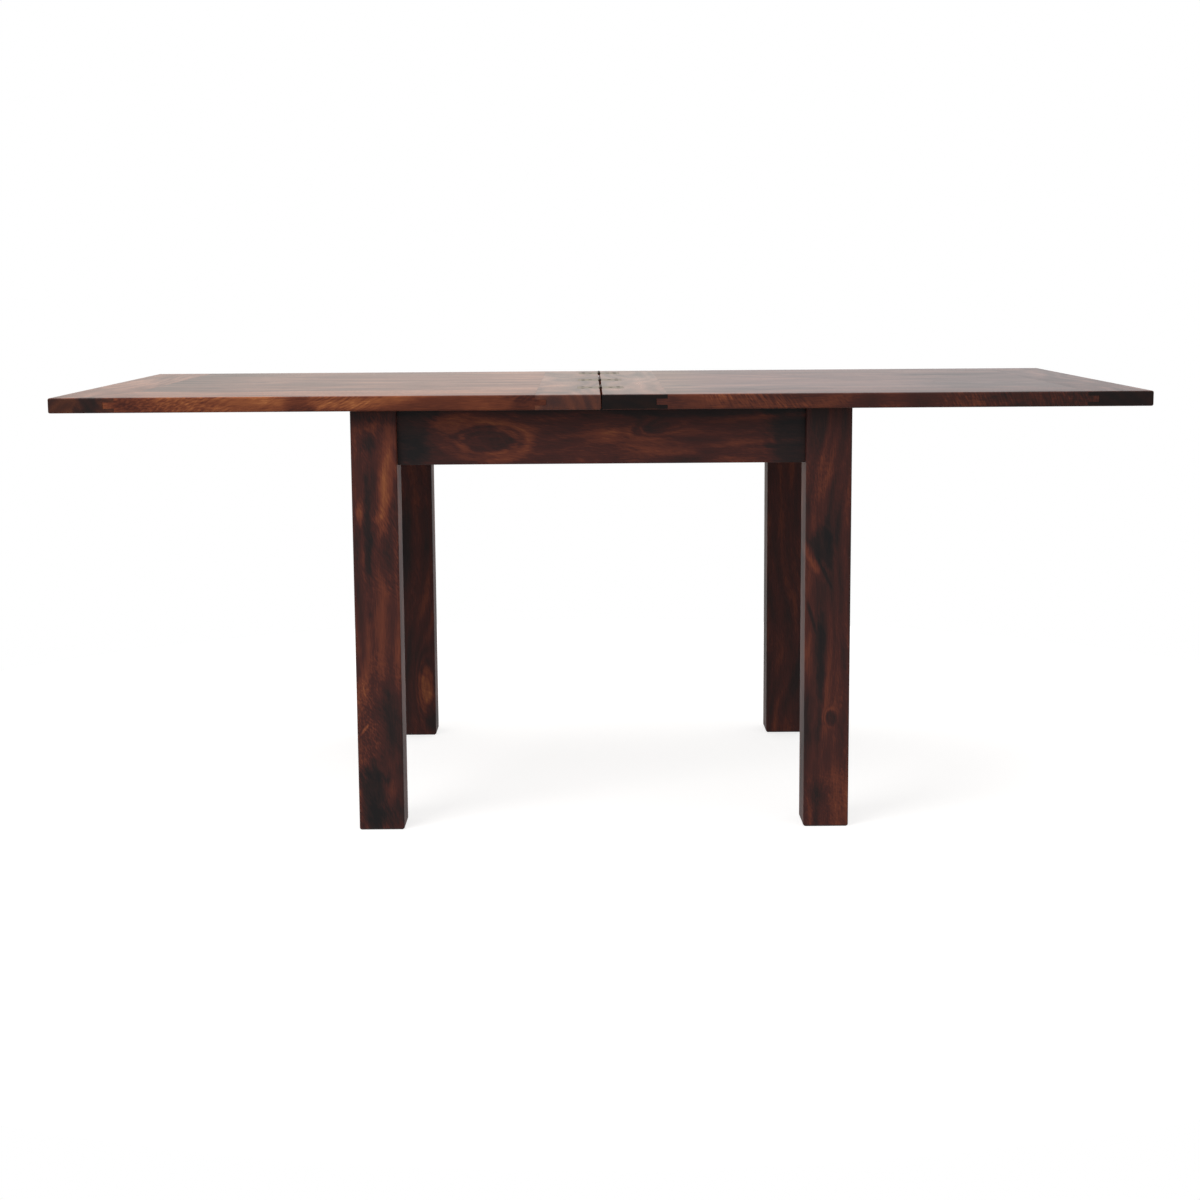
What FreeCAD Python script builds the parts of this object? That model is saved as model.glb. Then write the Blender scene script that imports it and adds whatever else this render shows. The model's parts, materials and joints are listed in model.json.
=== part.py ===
# Fold-over dining table: two equal leaves hinged like a book on a square four-legged frame.
# It stands open. To close it, the right leaf folds over onto the left one, and the pair turns
# a quarter round on an off-centre pivot until it sits square on the frame.
# Millimetres. +X runs along the open top, -Y is the front, +Z is up, origin on the floor in the middle.
import FreeCAD, Part
import os
import re
import Sketcher

# Driving dimensions: name, value and what it measures
SIZES = (
    # Leaves
    ("top_height", "735", "floor to the top surface, leaves open"),
    ("leaf_length", "899", "one leaf from its seam edge to its outer edge"),
    ("leaf_width", "900", "one leaf from front to back"),
    ("leaf_thickness", "25", "thickness of a leaf"),
    ("seam_gap", "2", "gap between the open leaves"),
    ("edge_round", "3", "radius round the rim of a leaf"),
    ("seam_arris", "1", "chamfer along the seam edges"),
    ("end_board_width", "107", "width of the boards across the ends of a leaf"),
    ("tongue_length", "18", "tongue on the ends of the long boards"),
    ("tongue_thickness", "10", "thickness of that tongue"),
    ("tongue_clearance", "0.4", "room beyond the tip of the tongue"),
    # Frame
    ("top_overhang", "36", "folded top beyond the legs, all round"),
    ("leg_width", "76", "side of a square leg"),
    ("leg_round", "3", "radius along the edges of a leg"),
    ("foot_bevel", "3", "chamfer round the foot of a leg"),
    ("leg_flat", "14", "chamfer that cuts the flat for the bolts on a leg's inner corner"),
    ("apron_height", "90", "height of the aprons"),
    ("apron_thickness", "24", "thickness of the aprons"),
    ("apron_setback", "12", "apron face behind the leg face"),
    ("apron_round", "2", "radius along the lower edges of the aprons"),
    ("felt_thickness", "2", "felt pads on the leg tops"),
    ("felt_size", "30", "side of those square pads"),
    # Corner blocks and the bolts that hold the legs
    ("block_thickness", "25", "thickness of a corner block along the diagonal"),
    ("block_height", "50", "height of a corner block"),
    ("block_gap", "5", "room between block and leg for drawing the leg tight"),
    ("block_drop", "4", "top of the blocks below the pivot rail"),
    ("bolt_diameter", "8", "hanger bolts"),
    ("bolt_pitch", "24", "the two bolts of a corner apart"),
    ("bolt_bite", "38", "depth of a bolt in its leg"),
    ("bolt_tail", "4", "bolt end beyond its nut"),
    ("washer_diameter", "20", "washers under the nuts"),
    ("washer_thickness", "2", "thickness of those washers"),
    ("nut_flats", "13", "nut across its flats"),
    ("nut_height", "6.5", "height of a nut"),
    ("block_screw_diameter", "4", "screws through the blocks into the aprons"),
    ("block_screw_head", "8", "diameter of their heads"),
    ("block_screw_length", "26", "length of those screws"),
    ("block_screw_seat", "10", "head of a block screw from the apron face"),
    # Pivot
    ("rail_width", "80", "width of the pivot rail"),
    ("rail_thickness", "28", "thickness of the pivot rail"),
    ("tenon_width", "60", "tenons on the ends of the rail"),
    ("tenon_thickness", "16", "thickness of those tenons"),
    ("tenon_length", "12", "length of those tenons"),
    ("plate_size", "80", "side of the square pivot plate"),
    ("plate_thickness", "3", "thickness of the pivot plate"),
    ("stud_diameter", "12", "stud on the pivot plate"),
    ("stud_tail", "4", "stud end below its nut"),
    ("bush_wall", "2", "wall of the bush round the stud"),
    ("bush_flange", "28", "side of the square flange on which the plate turns"),
    ("pivot_washer_size", "32", "side of the square washer under the rail"),
    ("pivot_washer_thickness", "2.5", "thickness of that washer"),
    ("pivot_nut_flats", "19", "lock nut across its flats"),
    ("pivot_nut_height", "10", "height of the lock nut"),
    ("stop_radius", "26", "stop pin from the pivot"),
    ("stop_pin_diameter", "8", "diameter of the stop pin"),
    ("stop_pin_reach", "10", "stop pin below the top of the rail"),
    ("slot_depth", "12", "depth of the slot that the stop pin runs in"),
    ("swivel_range", "90", "degrees that the top turns"),
    ("plate_screw_diameter", "4.5", "screws of the pivot plate"),
    ("plate_screw_head", "9", "diameter of their heads"),
    ("plate_screw_length", "16", "length of those screws"),
    ("plate_screw_inset", "11", "those screws from the edges of the plate"),
    # Hinges
    ("hinge_length", "76", "a hinge along the seam"),
    ("hinge_reach", "40", "edge of a hinge plate from the pin"),
    ("hinge_plate_thickness", "2.5", "thickness of the hinge plates"),
    ("barrel_diameter", "5.4", "knuckles of the hinges"),
    ("hinge_pin_diameter", "3", "pins of the hinges"),
    ("fold_gap", "1", "gap between the leaves when folded"),
    ("hinge_front", "228", "front edge of the leaf to the middle of the first hinge"),
    ("hinge_pitch", "283", "hinges apart"),
    ("near_screw", "17.5", "inner hinge screw from the pin"),
    ("far_screw", "31", "outer hinge screws from the pin"),
    ("far_screw_spread", "50", "outer hinge screws apart"),
    ("hinge_screw_diameter", "4", "hinge screws"),
    ("hinge_screw_head", "7.5", "diameter of their heads"),
    ("hinge_screw_length", "20", "length of those screws"),
    # Clearances
    ("running_clearance", "0.05", "round the stud and the hinge pins"),
    ("seat_clearance", "0.1", "round what is let in or driven home"),
    ("turning_clearance", "0.3", "between pieces that turn past each other"),
    ("overrun", "1", "cuts past the face that they start from"),
)
BOARD_COUNT = 5
HINGE_COUNT = 3
KNUCKLE_COUNT = 3
SQUARE_SIDES = 4
NUT_SIDES = 6
# Sides of the small round fasteners that repeat
FASTENER_SIDES = 8
CORNERS = {"front_left": (-1, -1), "front_right": (1, -1), "back_left": (-1, 1), "back_right": (1, 1)}
SIDES = {"left": -1, "right": 1}
HINGE_NAMES = ("front", "middle", "back")

# Places that several pieces share, as formulas in the names above
UNDERSIDE = "(top_height - leaf_thickness)"
FRAME_TOP = "(top_height - leaf_thickness - felt_thickness)"
RAIL_BOTTOM = f"({FRAME_TOP} - rail_thickness)"
BASE_WIDTH = "(leaf_length + seam_gap / 2 - 2 * top_overhang)"
BASE_DEPTH = "(leaf_width - 2 * top_overhang)"
LEG_X = f"({BASE_WIDTH} - leg_width) / 2"
LEG_Y = f"({BASE_DEPTH} - leg_width) / 2"
INNER_WIDTH = f"({BASE_WIDTH} / 2 - apron_setback - apron_thickness)"
INNER_DEPTH = f"({BASE_DEPTH} / 2 - apron_setback - apron_thickness)"
PIVOT = "((leaf_length + seam_gap) / 4)"
GROOVE_TOP = "((leaf_thickness - tongue_thickness) / 2)"
GROOVE_BOTTOM = "((leaf_thickness + tongue_thickness) / 2)"
SEAM_EDGE = "(seam_gap / 2)"
SEAM_SHOULDER = "(seam_gap / 2 + end_board_width)"
OUTER_SHOULDER = "(seam_gap / 2 + leaf_length - end_board_width)"
OUTER_EDGE = "(seam_gap / 2 + leaf_length)"
LEG_FLAT = "((leg_width - apron_setback - apron_thickness) * sqrt(2) - leg_flat / sqrt(2))"
BLOCK_NEAR = f"({LEG_FLAT} + block_gap)"
BLOCK_FAR = f"({BLOCK_NEAR} + block_thickness)"
BLOCK_BOTTOM = f"({RAIL_BOTTOM} - block_drop - block_height)"
BLOCK_MIDDLE = f"({BLOCK_BOTTOM} + block_height / 2)"
HINGE_AXIS = "(top_height + fold_gap / 2)"
STUD_BORE = "(stud_diameter / 2 + running_clearance)"
BUSH_RADIUS = f"({STUD_BORE} + bush_wall)"
WASHER_TOP = f"({RAIL_BOTTOM} - turning_clearance)"

UP = FreeCAD.Vector(0, 0, 1)
BACKWARD = FreeCAD.Vector(0, 1, 0)
UPRIGHT = FreeCAD.Rotation()
HANGING = FreeCAD.Rotation(FreeCAD.Vector(1, 0, 0), 180)
LYING = FreeCAD.Rotation(UP, BACKWARD)
SQUARED = FreeCAD.Rotation(UP, 45)
WORD = re.compile(r"[a-z][a-z_]*")
NAMES = {name for name, _, _ in SIZES}

doc = FreeCAD.newDocument("FoldOverTable")
sheet = doc.addObject("Spreadsheet::Sheet", "Sizes")
for row, (name, value, meaning) in enumerate(SIZES, start=1):
    sheet.set(f"A{row}", meaning)
    sheet.set(f"B{row}", value)
    sheet.setAlias(f"B{row}", name)
doc.recompute()
pieces = []


def in_sheet(word):
    """Point a word of a formula at its cell, and leave functions as they are."""
    return f"Sizes.{word.group()}" if word.group() in NAMES else word.group()


def bind(item, prop, formula):
    """Tie a property to a formula in the sheet's names."""
    item.setExpression(prop, WORD.sub(in_sheet, formula))


def place(item, x="0", y="0", z="0", turn=UPRIGHT):
    """Put an object at three formulas, turned by a fixed rotation."""
    item.Placement = FreeCAD.Placement(FreeCAD.Vector(), turn)
    for axis, formula in zip("xyz", (x, y, z)):
        bind(item, f"Placement.Base.{axis}", formula)
    return item


def keep(item, label):
    """Name a finished piece and list it for writing."""
    item.Label = label
    pieces.append(item)
    return item


def new_body(label):
    """Start a body under a working name."""
    return doc.addObject("PartDesign::Body", f"{label}_body")


def sketch_on(body, plane, lift="0"):
    """Attach a sketch to one of the body's own origin planes, lifted off it by a formula."""
    sketch = body.newObject("Sketcher::SketchObject", f"{body.Name}_sketch")
    support = next(item for item in body.Origin.OriginFeatures if item.Role == plane)
    sketch.AttachmentSupport = [(support, "")]
    sketch.MapMode = "FlatFace"
    bind(sketch, "AttachmentOffset.Base.z", lift)
    return sketch


def hold_point(sketch, curve, end, x, y):
    """Fix a sketch point at two formulas, measured from the sketch's origin."""
    for kind, formula in (("DistanceX", x), ("DistanceY", y)):
        number = sketch.addConstraint(Sketcher.Constraint(kind, -1, 1, curve, end, 1.0))
        bind(sketch, f"Constraints[{number}]", formula)


def add_outline(sketch, corners):
    """Draw a closed outline of straight lines through corners given as pairs of formulas."""
    first = sketch.GeometryCount
    count = len(corners)
    spread = [FreeCAD.Rotation(UP, 360 * index / count).multVec(BACKWARD) for index in range(count)]
    for index in range(count):
        sketch.addGeometry(Part.LineSegment(spread[index], spread[index - count + 1]), False)
    for index in range(count):
        following = first + (index + 1) % count
        sketch.addConstraint(Sketcher.Constraint("Coincident", first + index, 2, following, 1))
    for index, (x, y) in enumerate(corners):
        hold_point(sketch, first + index, 1, x, y)
    return sketch


def add_rectangle(sketch, left, bottom, right, top):
    """Draw a rectangle between four formulas."""
    return add_outline(sketch, [(left, bottom), (right, bottom), (right, top), (left, top)])


def add_circle(sketch, diameter):
    """Draw a circle about the sketch's origin."""
    circle = sketch.addGeometry(Part.Circle(FreeCAD.Vector(), UP, 1), False)
    sketch.addConstraint(Sketcher.Constraint("Coincident", circle, 3, -1, 1))
    number = sketch.addConstraint(Sketcher.Constraint("Diameter", circle, 1.0))
    bind(sketch, f"Constraints[{number}]", diameter)
    return sketch


def extrude(body, kind, sketch, length, side="Symmetric", reverse=False):
    """Pad or pocket a sketch by a formula."""
    feature = body.newObject(f"PartDesign::{kind}", f"{body.Name}_{kind.lower()}")
    feature.Profile = sketch
    feature.SideType = side
    feature.Reversed = reverse
    bind(feature, "Length", length)
    return feature


def turn_groove(body, sketch, angle):
    """Cut a sketch round the body's upright axis, half the angle each way."""
    feature = body.newObject("PartDesign::Groove", f"{body.Name}_groove")
    feature.Profile = sketch
    axis = next(item for item in body.Origin.OriginFeatures if item.Role == "Z_Axis")
    feature.ReferenceAxis = (axis, [""])
    feature.Midplane = True
    bind(feature, "Angle", angle)
    return feature


def ease_edges(body, sides, size, kind="Fillet"):
    """Round or bevel the straight edges that lie on both of two named sides of the body's box."""
    doc.recompute()
    base = body.Tip
    box = base.Shape.BoundBox

    def lies_on(edge, side):
        axis = side[0]
        reach = getattr(box, side)
        ends = (getattr(edge.BoundBox, f"{axis}Min"), getattr(edge.BoundBox, f"{axis}Max"))
        return all(abs(end - reach) < Part.Precision.confusion() * 10 for end in ends)

    names = [
        f"Edge{number}"
        for number, edge in enumerate(base.Shape.Edges, start=1)
        if any(lies_on(edge, one) and lies_on(edge, other) for one, other in sides)
    ]
    feature = body.newObject(f"PartDesign::{kind}", f"{body.Name}_{kind.lower()}")
    feature.Base = (base, names)
    bind(feature, "Radius" if kind == "Fillet" else "Size", size)
    return feature


def block(label, length, width, height, x, y, z):
    """Make a box by its sizes and its lowest corner."""
    item = doc.addObject("Part::Box", label)
    bind(item, "Length", length)
    bind(item, "Width", width)
    bind(item, "Height", height)
    return place(item, x, y, z)


def rod(label, diameter, length):
    """Make a round bar along its own axis."""
    item = doc.addObject("Part::Cylinder", label)
    bind(item, "Radius", f"({diameter}) / 2")
    bind(item, "Height", length)
    return item


def cut(base, tools):
    """Take tools away from a piece."""
    gathered = doc.addObject("Part::Compound", f"{base.Name}_tools")
    gathered.Links = tools
    result = doc.addObject("Part::Cut", f"{base.Name}_cut")
    result.Base = base
    result.Tool = gathered
    return result


def bar(label, flats, length, sides):
    """Make a bar of several sides along its own axis, by its width across flats."""
    item = doc.addObject("Part::Prism", label)
    item.Polygon = sides
    bind(item, "Circumradius", f"({flats}) / 2 / cos(180 deg / {sides})")
    bind(item, "Height", length)
    return item


def copies(label, pattern, places):
    """Set copies of one object at several places, as one group."""
    links = []
    for x, y, z, turn in places:
        link = doc.addObject("App::Link", f"{label}_copy")
        link.LinkedObject = pattern
        links.append(place(link, x, y, z, turn))
    group = doc.addObject("Part::Compound", label)
    group.Links = links
    return group


def add_prism(body, radius, length, lift="0"):
    """Add a bar of several sides to a body, by the radius over its corners."""
    feature = body.newObject("PartDesign::AdditivePrism", f"{body.Name}_prism")
    feature.Polygon = FASTENER_SIDES
    bind(feature, "Circumradius", radius)
    bind(feature, "Height", length)
    return place(feature, z=lift)


def screw_form(label, head, shank, length):
    """Make a countersunk form, head at the origin, that narrows at 45 degrees along its own +Z."""
    body = new_body(label)
    cone = add_prism(body, head, f"({head} - {shank}) * cos(180 deg / {FASTENER_SIDES})")
    doc.recompute()
    rises = {f"Face{number}": face.normalAt(0, 0).z for number, face in enumerate(cone.Shape.Faces, 1)}
    draft = body.newObject("PartDesign::Draft", f"{label}_draft")
    draft.Base = (cone, [face for face, rise in rises.items() if abs(rise) < 0.5])
    draft.NeutralPlane = (cone, [face for face, rise in rises.items() if rise < -0.5])
    draft.Angle = 45
    add_prism(body, shank, length)
    return body


def screw(kind):
    """Make a countersunk wood screw."""
    return screw_form(
        f"{kind}_screw", f"({kind}_screw_head / 2)", f"({kind}_screw_diameter / 2)", f"{kind}_screw_length"
    )


def screw_hole(kind, approach):
    """Make the room that such a screw needs, open behind its head over the approach."""
    head = f"({kind}_screw_head / 2 + seat_clearance)"
    shank = f"({kind}_screw_diameter / 2 + seat_clearance)"
    room = screw_form(f"{kind}_screw_hole", head, shank, f"{kind}_screw_length")
    add_prism(room, head, approach, f"-{approach}")
    return room


def on_diagonal(side, front, distance, height):
    """Give a place on a corner's diagonal, inwards from where the apron faces would meet."""
    inward = FreeCAD.Rotation(UP, FreeCAD.Vector(-side, -front, 0))
    x = f"{side} * ({INNER_WIDTH} - {distance} / sqrt(2))"
    y = f"{front} * ({INNER_DEPTH} - {distance} / sqrt(2))"
    return x, y, height, inward


def bolt_places(distance):
    """List the places of the two bolts of each corner, by corner."""
    heights = [f"{BLOCK_MIDDLE} + {step} * bolt_pitch / 2" for step in (-1, 1)]
    return {
        corner: [on_diagonal(side, front, distance, height) for height in heights]
        for corner, (side, front) in CORNERS.items()
    }


def block_screw_places():
    """List the places of the two screws of each corner block, by corner."""
    along = f"(({BLOCK_NEAR} + {BLOCK_FAR}) / sqrt(2))"
    places = {}
    for corner, (side, front) in CORNERS.items():
        to_side = FreeCAD.Rotation(UP, FreeCAD.Vector(side, 0, 0))
        to_front = FreeCAD.Rotation(UP, FreeCAD.Vector(0, front, 0))
        across = f"{side} * ({INNER_WIDTH} - {along})"
        deep = f"{front} * ({INNER_DEPTH} - {along})"
        at_side = f"{side} * ({INNER_WIDTH} - block_screw_seat)"
        at_front = f"{front} * ({INNER_DEPTH} - block_screw_seat)"
        places[corner] = [
            (at_side, deep, BLOCK_MIDDLE, to_side),
            (across, at_front, BLOCK_MIDDLE, to_front),
        ]
    return places


def joined(places):
    """Run the lists of all corners into one."""
    return [spot for corner in places.values() for spot in corner]


def make_leg(corner, holes):
    """Make a square leg with rounded edges, a flat on its inner corner and holes for its bolts."""
    side, front = CORNERS[corner]
    half = "leg_width / 2"
    body = new_body(f"leg_{corner}")
    square = add_rectangle(sketch_on(body, "XY_Plane"), f"-{half}", f"-{half}", half, half)
    extrude(body, "Pad", square, FRAME_TOP, "One side")
    ease_edges(body, [(wall, "ZMin") for wall in ("XMin", "XMax", "YMin", "YMax")], "foot_bevel", "Chamfer")
    ease_edges(body, [(x, y) for x in ("XMin", "XMax") for y in ("YMin", "YMax")], "leg_round")
    beyond = f"({half} + overrun)"
    inner = f"({half} - leg_flat - overrun)"
    corner_cut = [(beyond, beyond), (inner, beyond), (beyond, inner)]
    flat = sketch_on(body, "XY_Plane", FRAME_TOP)
    add_outline(flat, [(f"-{side} * {x}", f"-{front} * {y}") for x, y in corner_cut])
    extrude(body, "Pocket", flat, "apron_height", "One side")
    place(body, f"{side} * {LEG_X}", f"{front} * {LEG_Y}")
    keep(cut(body, [holes]), f"leg_{corner}")


def make_apron(where, turn, across, room, tools):
    """Make an apron between two legs, with its lower edges eased."""
    body = new_body(f"apron_{where}")
    section = add_rectangle(sketch_on(body, "YZ_Plane"), "0", "0", "apron_thickness", "apron_height")
    extrude(body, "Pad", section, f"{across} - 2 * leg_width")
    ease_edges(body, [("YMin", "ZMin"), ("YMax", "ZMin")], "apron_round")
    turned = FreeCAD.Rotation(UP, turn)
    outward = turned.multVec(FreeCAD.Vector(0, -1, 0))
    face = f"({room} / 2 - apron_setback)"
    x = f"{round(outward.x)} * {face}"
    y = f"{round(outward.y)} * {face}"
    place(body, x, y, f"{FRAME_TOP} - apron_height", turned)
    keep(cut(body, tools), f"apron_{where}")


def make_corner_block(corner, tools):
    """Make a block across a corner, its ends flat on the two aprons."""
    side, front = CORNERS[corner]
    body = new_body(f"corner_block_{corner}")
    outline = [
        (BLOCK_NEAR, f"-{BLOCK_NEAR}"),
        (BLOCK_FAR, f"-{BLOCK_FAR}"),
        (BLOCK_FAR, BLOCK_FAR),
        (BLOCK_NEAR, BLOCK_NEAR),
    ]
    extrude(body, "Pad", add_outline(sketch_on(body, "XY_Plane"), outline), "block_height", "One side")
    inward = FreeCAD.Rotation(FreeCAD.Vector(1, 0, 0), FreeCAD.Vector(-side, -front, 0))
    place(body, f"{side} * {INNER_WIDTH}", f"{front} * {INNER_DEPTH}", BLOCK_BOTTOM, inward)
    keep(cut(body, tools), f"corner_block_{corner}")


def make_frame():
    """Make the legs, aprons, corner blocks, their fasteners and the felt pads."""
    bolt_start = f"({LEG_FLAT} - bolt_bite)"
    bolt_end = f"({BLOCK_FAR} + washer_thickness + nut_height + bolt_tail)"
    hole = "(bolt_diameter + 2 * seat_clearance)"
    bolt = bar("bolt", "bolt_diameter", f"{bolt_end} - {bolt_start}", FASTENER_SIDES)
    bolt_hole = bar("bolt_hole", hole, f"{bolt_end} - {bolt_start}", FASTENER_SIDES)
    screw_room = screw_hole("block", "block_thickness")
    bolts = bolt_places(bolt_start)
    screws = block_screw_places()
    tenon_hole = block(
        "tenon_hole",
        "tenon_width",
        f"2 * ({INNER_DEPTH} + tenon_length)",
        "tenon_thickness",
        f"-{PIVOT} - tenon_width / 2",
        f"-{INNER_DEPTH} - tenon_length",
        f"{FRAME_TOP} - (rail_thickness + tenon_thickness) / 2",
    )
    screw_holes = {
        corner: copies(f"{corner}_screw_holes", screw_room, screws[corner]) for corner in CORNERS
    }
    for corner in CORNERS:
        bolt_holes = copies(f"{corner}_bolt_holes", bolt_hole, bolts[corner])
        make_leg(corner, bolt_holes)
        make_corner_block(corner, [bolt_holes, screw_holes[corner]])
    every_hole = list(screw_holes.values())
    make_apron("front", 0, BASE_WIDTH, BASE_DEPTH, every_hole + [tenon_hole])
    make_apron("back", 180, BASE_WIDTH, BASE_DEPTH, every_hole + [tenon_hole])
    make_apron("left", -90, BASE_DEPTH, BASE_WIDTH, every_hole)
    make_apron("right", 90, BASE_DEPTH, BASE_WIDTH, every_hole)

    washer = cut(bar("washer", "washer_diameter", "washer_thickness", FASTENER_SIDES), [bolt_hole])
    nut = cut(bar("nut", "nut_flats", "nut_height", NUT_SIDES), [bolt_hole])
    keep(copies("bolts", bolt, joined(bolts)), "hanger_bolts")
    keep(copies("washers", washer, joined(bolt_places(BLOCK_FAR))), "bolt_washers")
    keep(copies("nuts", nut, joined(bolt_places(f"({BLOCK_FAR} + washer_thickness)"))), "bolt_nuts")
    keep(copies("block_screws", screw("block"), joined(screws)), "block_screws")

    pads = []
    for side, front in CORNERS.values():
        pads.append((f"{side} * {LEG_X}", f"{front} * {LEG_Y}", FRAME_TOP, SQUARED))
    keep(copies("pads", bar("pad", "felt_size", "felt_thickness", SQUARE_SIDES), pads), "felt_pads")


def make_pivot_rail():
    """Make the rail across the frame, with tenons, a bore for the bush and the slot of the stop pin."""
    body = new_body("pivot_rail")
    front = f"-{INNER_DEPTH} - {PIVOT}"
    back = f"{INNER_DEPTH} - {PIVOT}"
    plan = sketch_on(body, "XY_Plane")
    add_rectangle(plan, "-rail_width / 2", front, "rail_width / 2", back)
    extrude(body, "Pad", plan, "rail_thickness", "One side", True)
    tenon = sketch_on(body, "XY_Plane", "-(rail_thickness - tenon_thickness) / 2")
    tips = (f"{front} - tenon_length", f"{back} + tenon_length")
    add_rectangle(tenon, "-tenon_width / 2", tips[0], "tenon_width / 2", tips[1])
    extrude(body, "Pad", tenon, "tenon_thickness", "One side", True)
    bore = add_circle(sketch_on(body, "XY_Plane"), f"2 * ({BUSH_RADIUS} + seat_clearance)")
    extrude(body, "Pocket", bore, "rail_thickness", "One side")
    half = "(stop_pin_diameter / 2 + turning_clearance)"
    slot = sketch_on(body, "XZ_Plane")
    add_rectangle(slot, f"stop_radius - {half}", "-slot_depth", f"stop_radius + {half}", "overrun")
    turn_groove(body, slot, f"swivel_range * 1 deg + 2 * asin({half} / stop_radius)")
    place(body, f"-{PIVOT}", PIVOT, FRAME_TOP)
    keep(body, "pivot_rail")


def make_pivot():
    """Make the pivot plate with its stud, stop pin, bush, washer and nut. Return its cuts in the leaf."""
    stud_length = (
        "felt_thickness + rail_thickness + turning_clearance + pivot_washer_thickness"
        " + pivot_nut_height + stud_tail"
    )
    half = "plate_size / 2"
    body = new_body("pivot_plate")
    square = add_rectangle(sketch_on(body, "XY_Plane"), f"-{half}", f"-{half}", half, half)
    extrude(body, "Pad", square, "plate_thickness", "One side")
    stud = add_circle(sketch_on(body, "XY_Plane"), "stud_diameter")
    extrude(body, "Pad", stud, stud_length, "One side", True)
    place(body, f"-{PIVOT}", PIVOT, UNDERSIDE)

    reach = f"({half} - plate_screw_inset)"
    spots = [
        (f"-{PIVOT} + {x} * {reach}", f"{PIVOT} + {y} * {reach}", UNDERSIDE, UPRIGHT)
        for x, y in CORNERS.values()
    ]
    screw_holes = copies("plate_screw_holes", screw_hole("plate", "overrun"), spots)
    keep(copies("plate_screws", screw("plate"), spots), "pivot_plate_screws")

    pin_length = "(stop_pin_reach + felt_thickness + plate_thickness)"
    pin_x = f"-{PIVOT} + stop_radius * cos(swivel_range * 1 deg / 2)"
    pin_y = f"{PIVOT} - stop_radius * sin(swivel_range * 1 deg / 2)"
    pin_z = f"{FRAME_TOP} - stop_pin_reach"
    pin_hole = rod("stop_pin_hole", "stop_pin_diameter + 2 * seat_clearance", pin_length)
    place(pin_hole, pin_x, pin_y, pin_z)
    keep(cut(body, [screw_holes, pin_hole]), "pivot_plate")
    keep(place(rod("pin", "stop_pin_diameter", pin_length), pin_x, pin_y, pin_z), "stop_pin")

    bush = new_body("pivot_bush")
    half = "bush_flange / 2"
    flange = add_rectangle(sketch_on(bush, "XY_Plane"), f"-{half}", f"-{half}", half, half)
    extrude(bush, "Pad", flange, "felt_thickness", "One side")
    sleeve = add_circle(sketch_on(bush, "XY_Plane"), f"2 * {BUSH_RADIUS}")
    extrude(bush, "Pad", sleeve, "rail_thickness", "One side", True)
    stud_bore = add_circle(sketch_on(bush, "XY_Plane", "felt_thickness"), f"2 * {STUD_BORE}")
    extrude(bush, "Pocket", stud_bore, "felt_thickness + rail_thickness", "One side")
    keep(place(bush, f"-{PIVOT}", PIVOT, FRAME_TOP), "pivot_bush")

    bore = rod("stud_room", f"2 * {STUD_BORE}", "pivot_washer_thickness + pivot_nut_height")
    washer = cut(bar("pivot_square", "pivot_washer_size", "pivot_washer_thickness", SQUARE_SIDES), [bore])
    place(washer, f"-{PIVOT}", PIVOT, f"{WASHER_TOP} - pivot_washer_thickness", SQUARED)
    keep(washer, "pivot_washer")
    nut = cut(bar("pivot_hexagon", "pivot_nut_flats", "pivot_nut_height", NUT_SIDES), [bore])
    place(nut, f"-{PIVOT}", PIVOT, f"{WASHER_TOP} - pivot_washer_thickness - pivot_nut_height")
    keep(nut, "pivot_nut")

    room = "(plate_size + 2 * seat_clearance)"
    recess = block(
        "plate_recess",
        room,
        room,
        "plate_thickness + overrun",
        f"-{PIVOT} - {room} / 2",
        f"{PIVOT} - {room} / 2",
        f"{UNDERSIDE} - overrun",
    )
    return [recess, screw_holes]


def make_leaf_piece(label, side, profile, width, middle, rounded):
    """Pad a profile across the leaf; its points run outwards from the seam and down from the top."""
    body = new_body(label)
    outline = [(f"{side} * {x}", f"-({z})") for x, z in profile]
    extrude(body, "Pad", add_outline(sketch_on(body, "XZ_Plane"), outline), width)
    if rounded:
        ease_edges(body, rounded, "edge_round")
    return place(body, "0", middle, "top_height")


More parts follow.
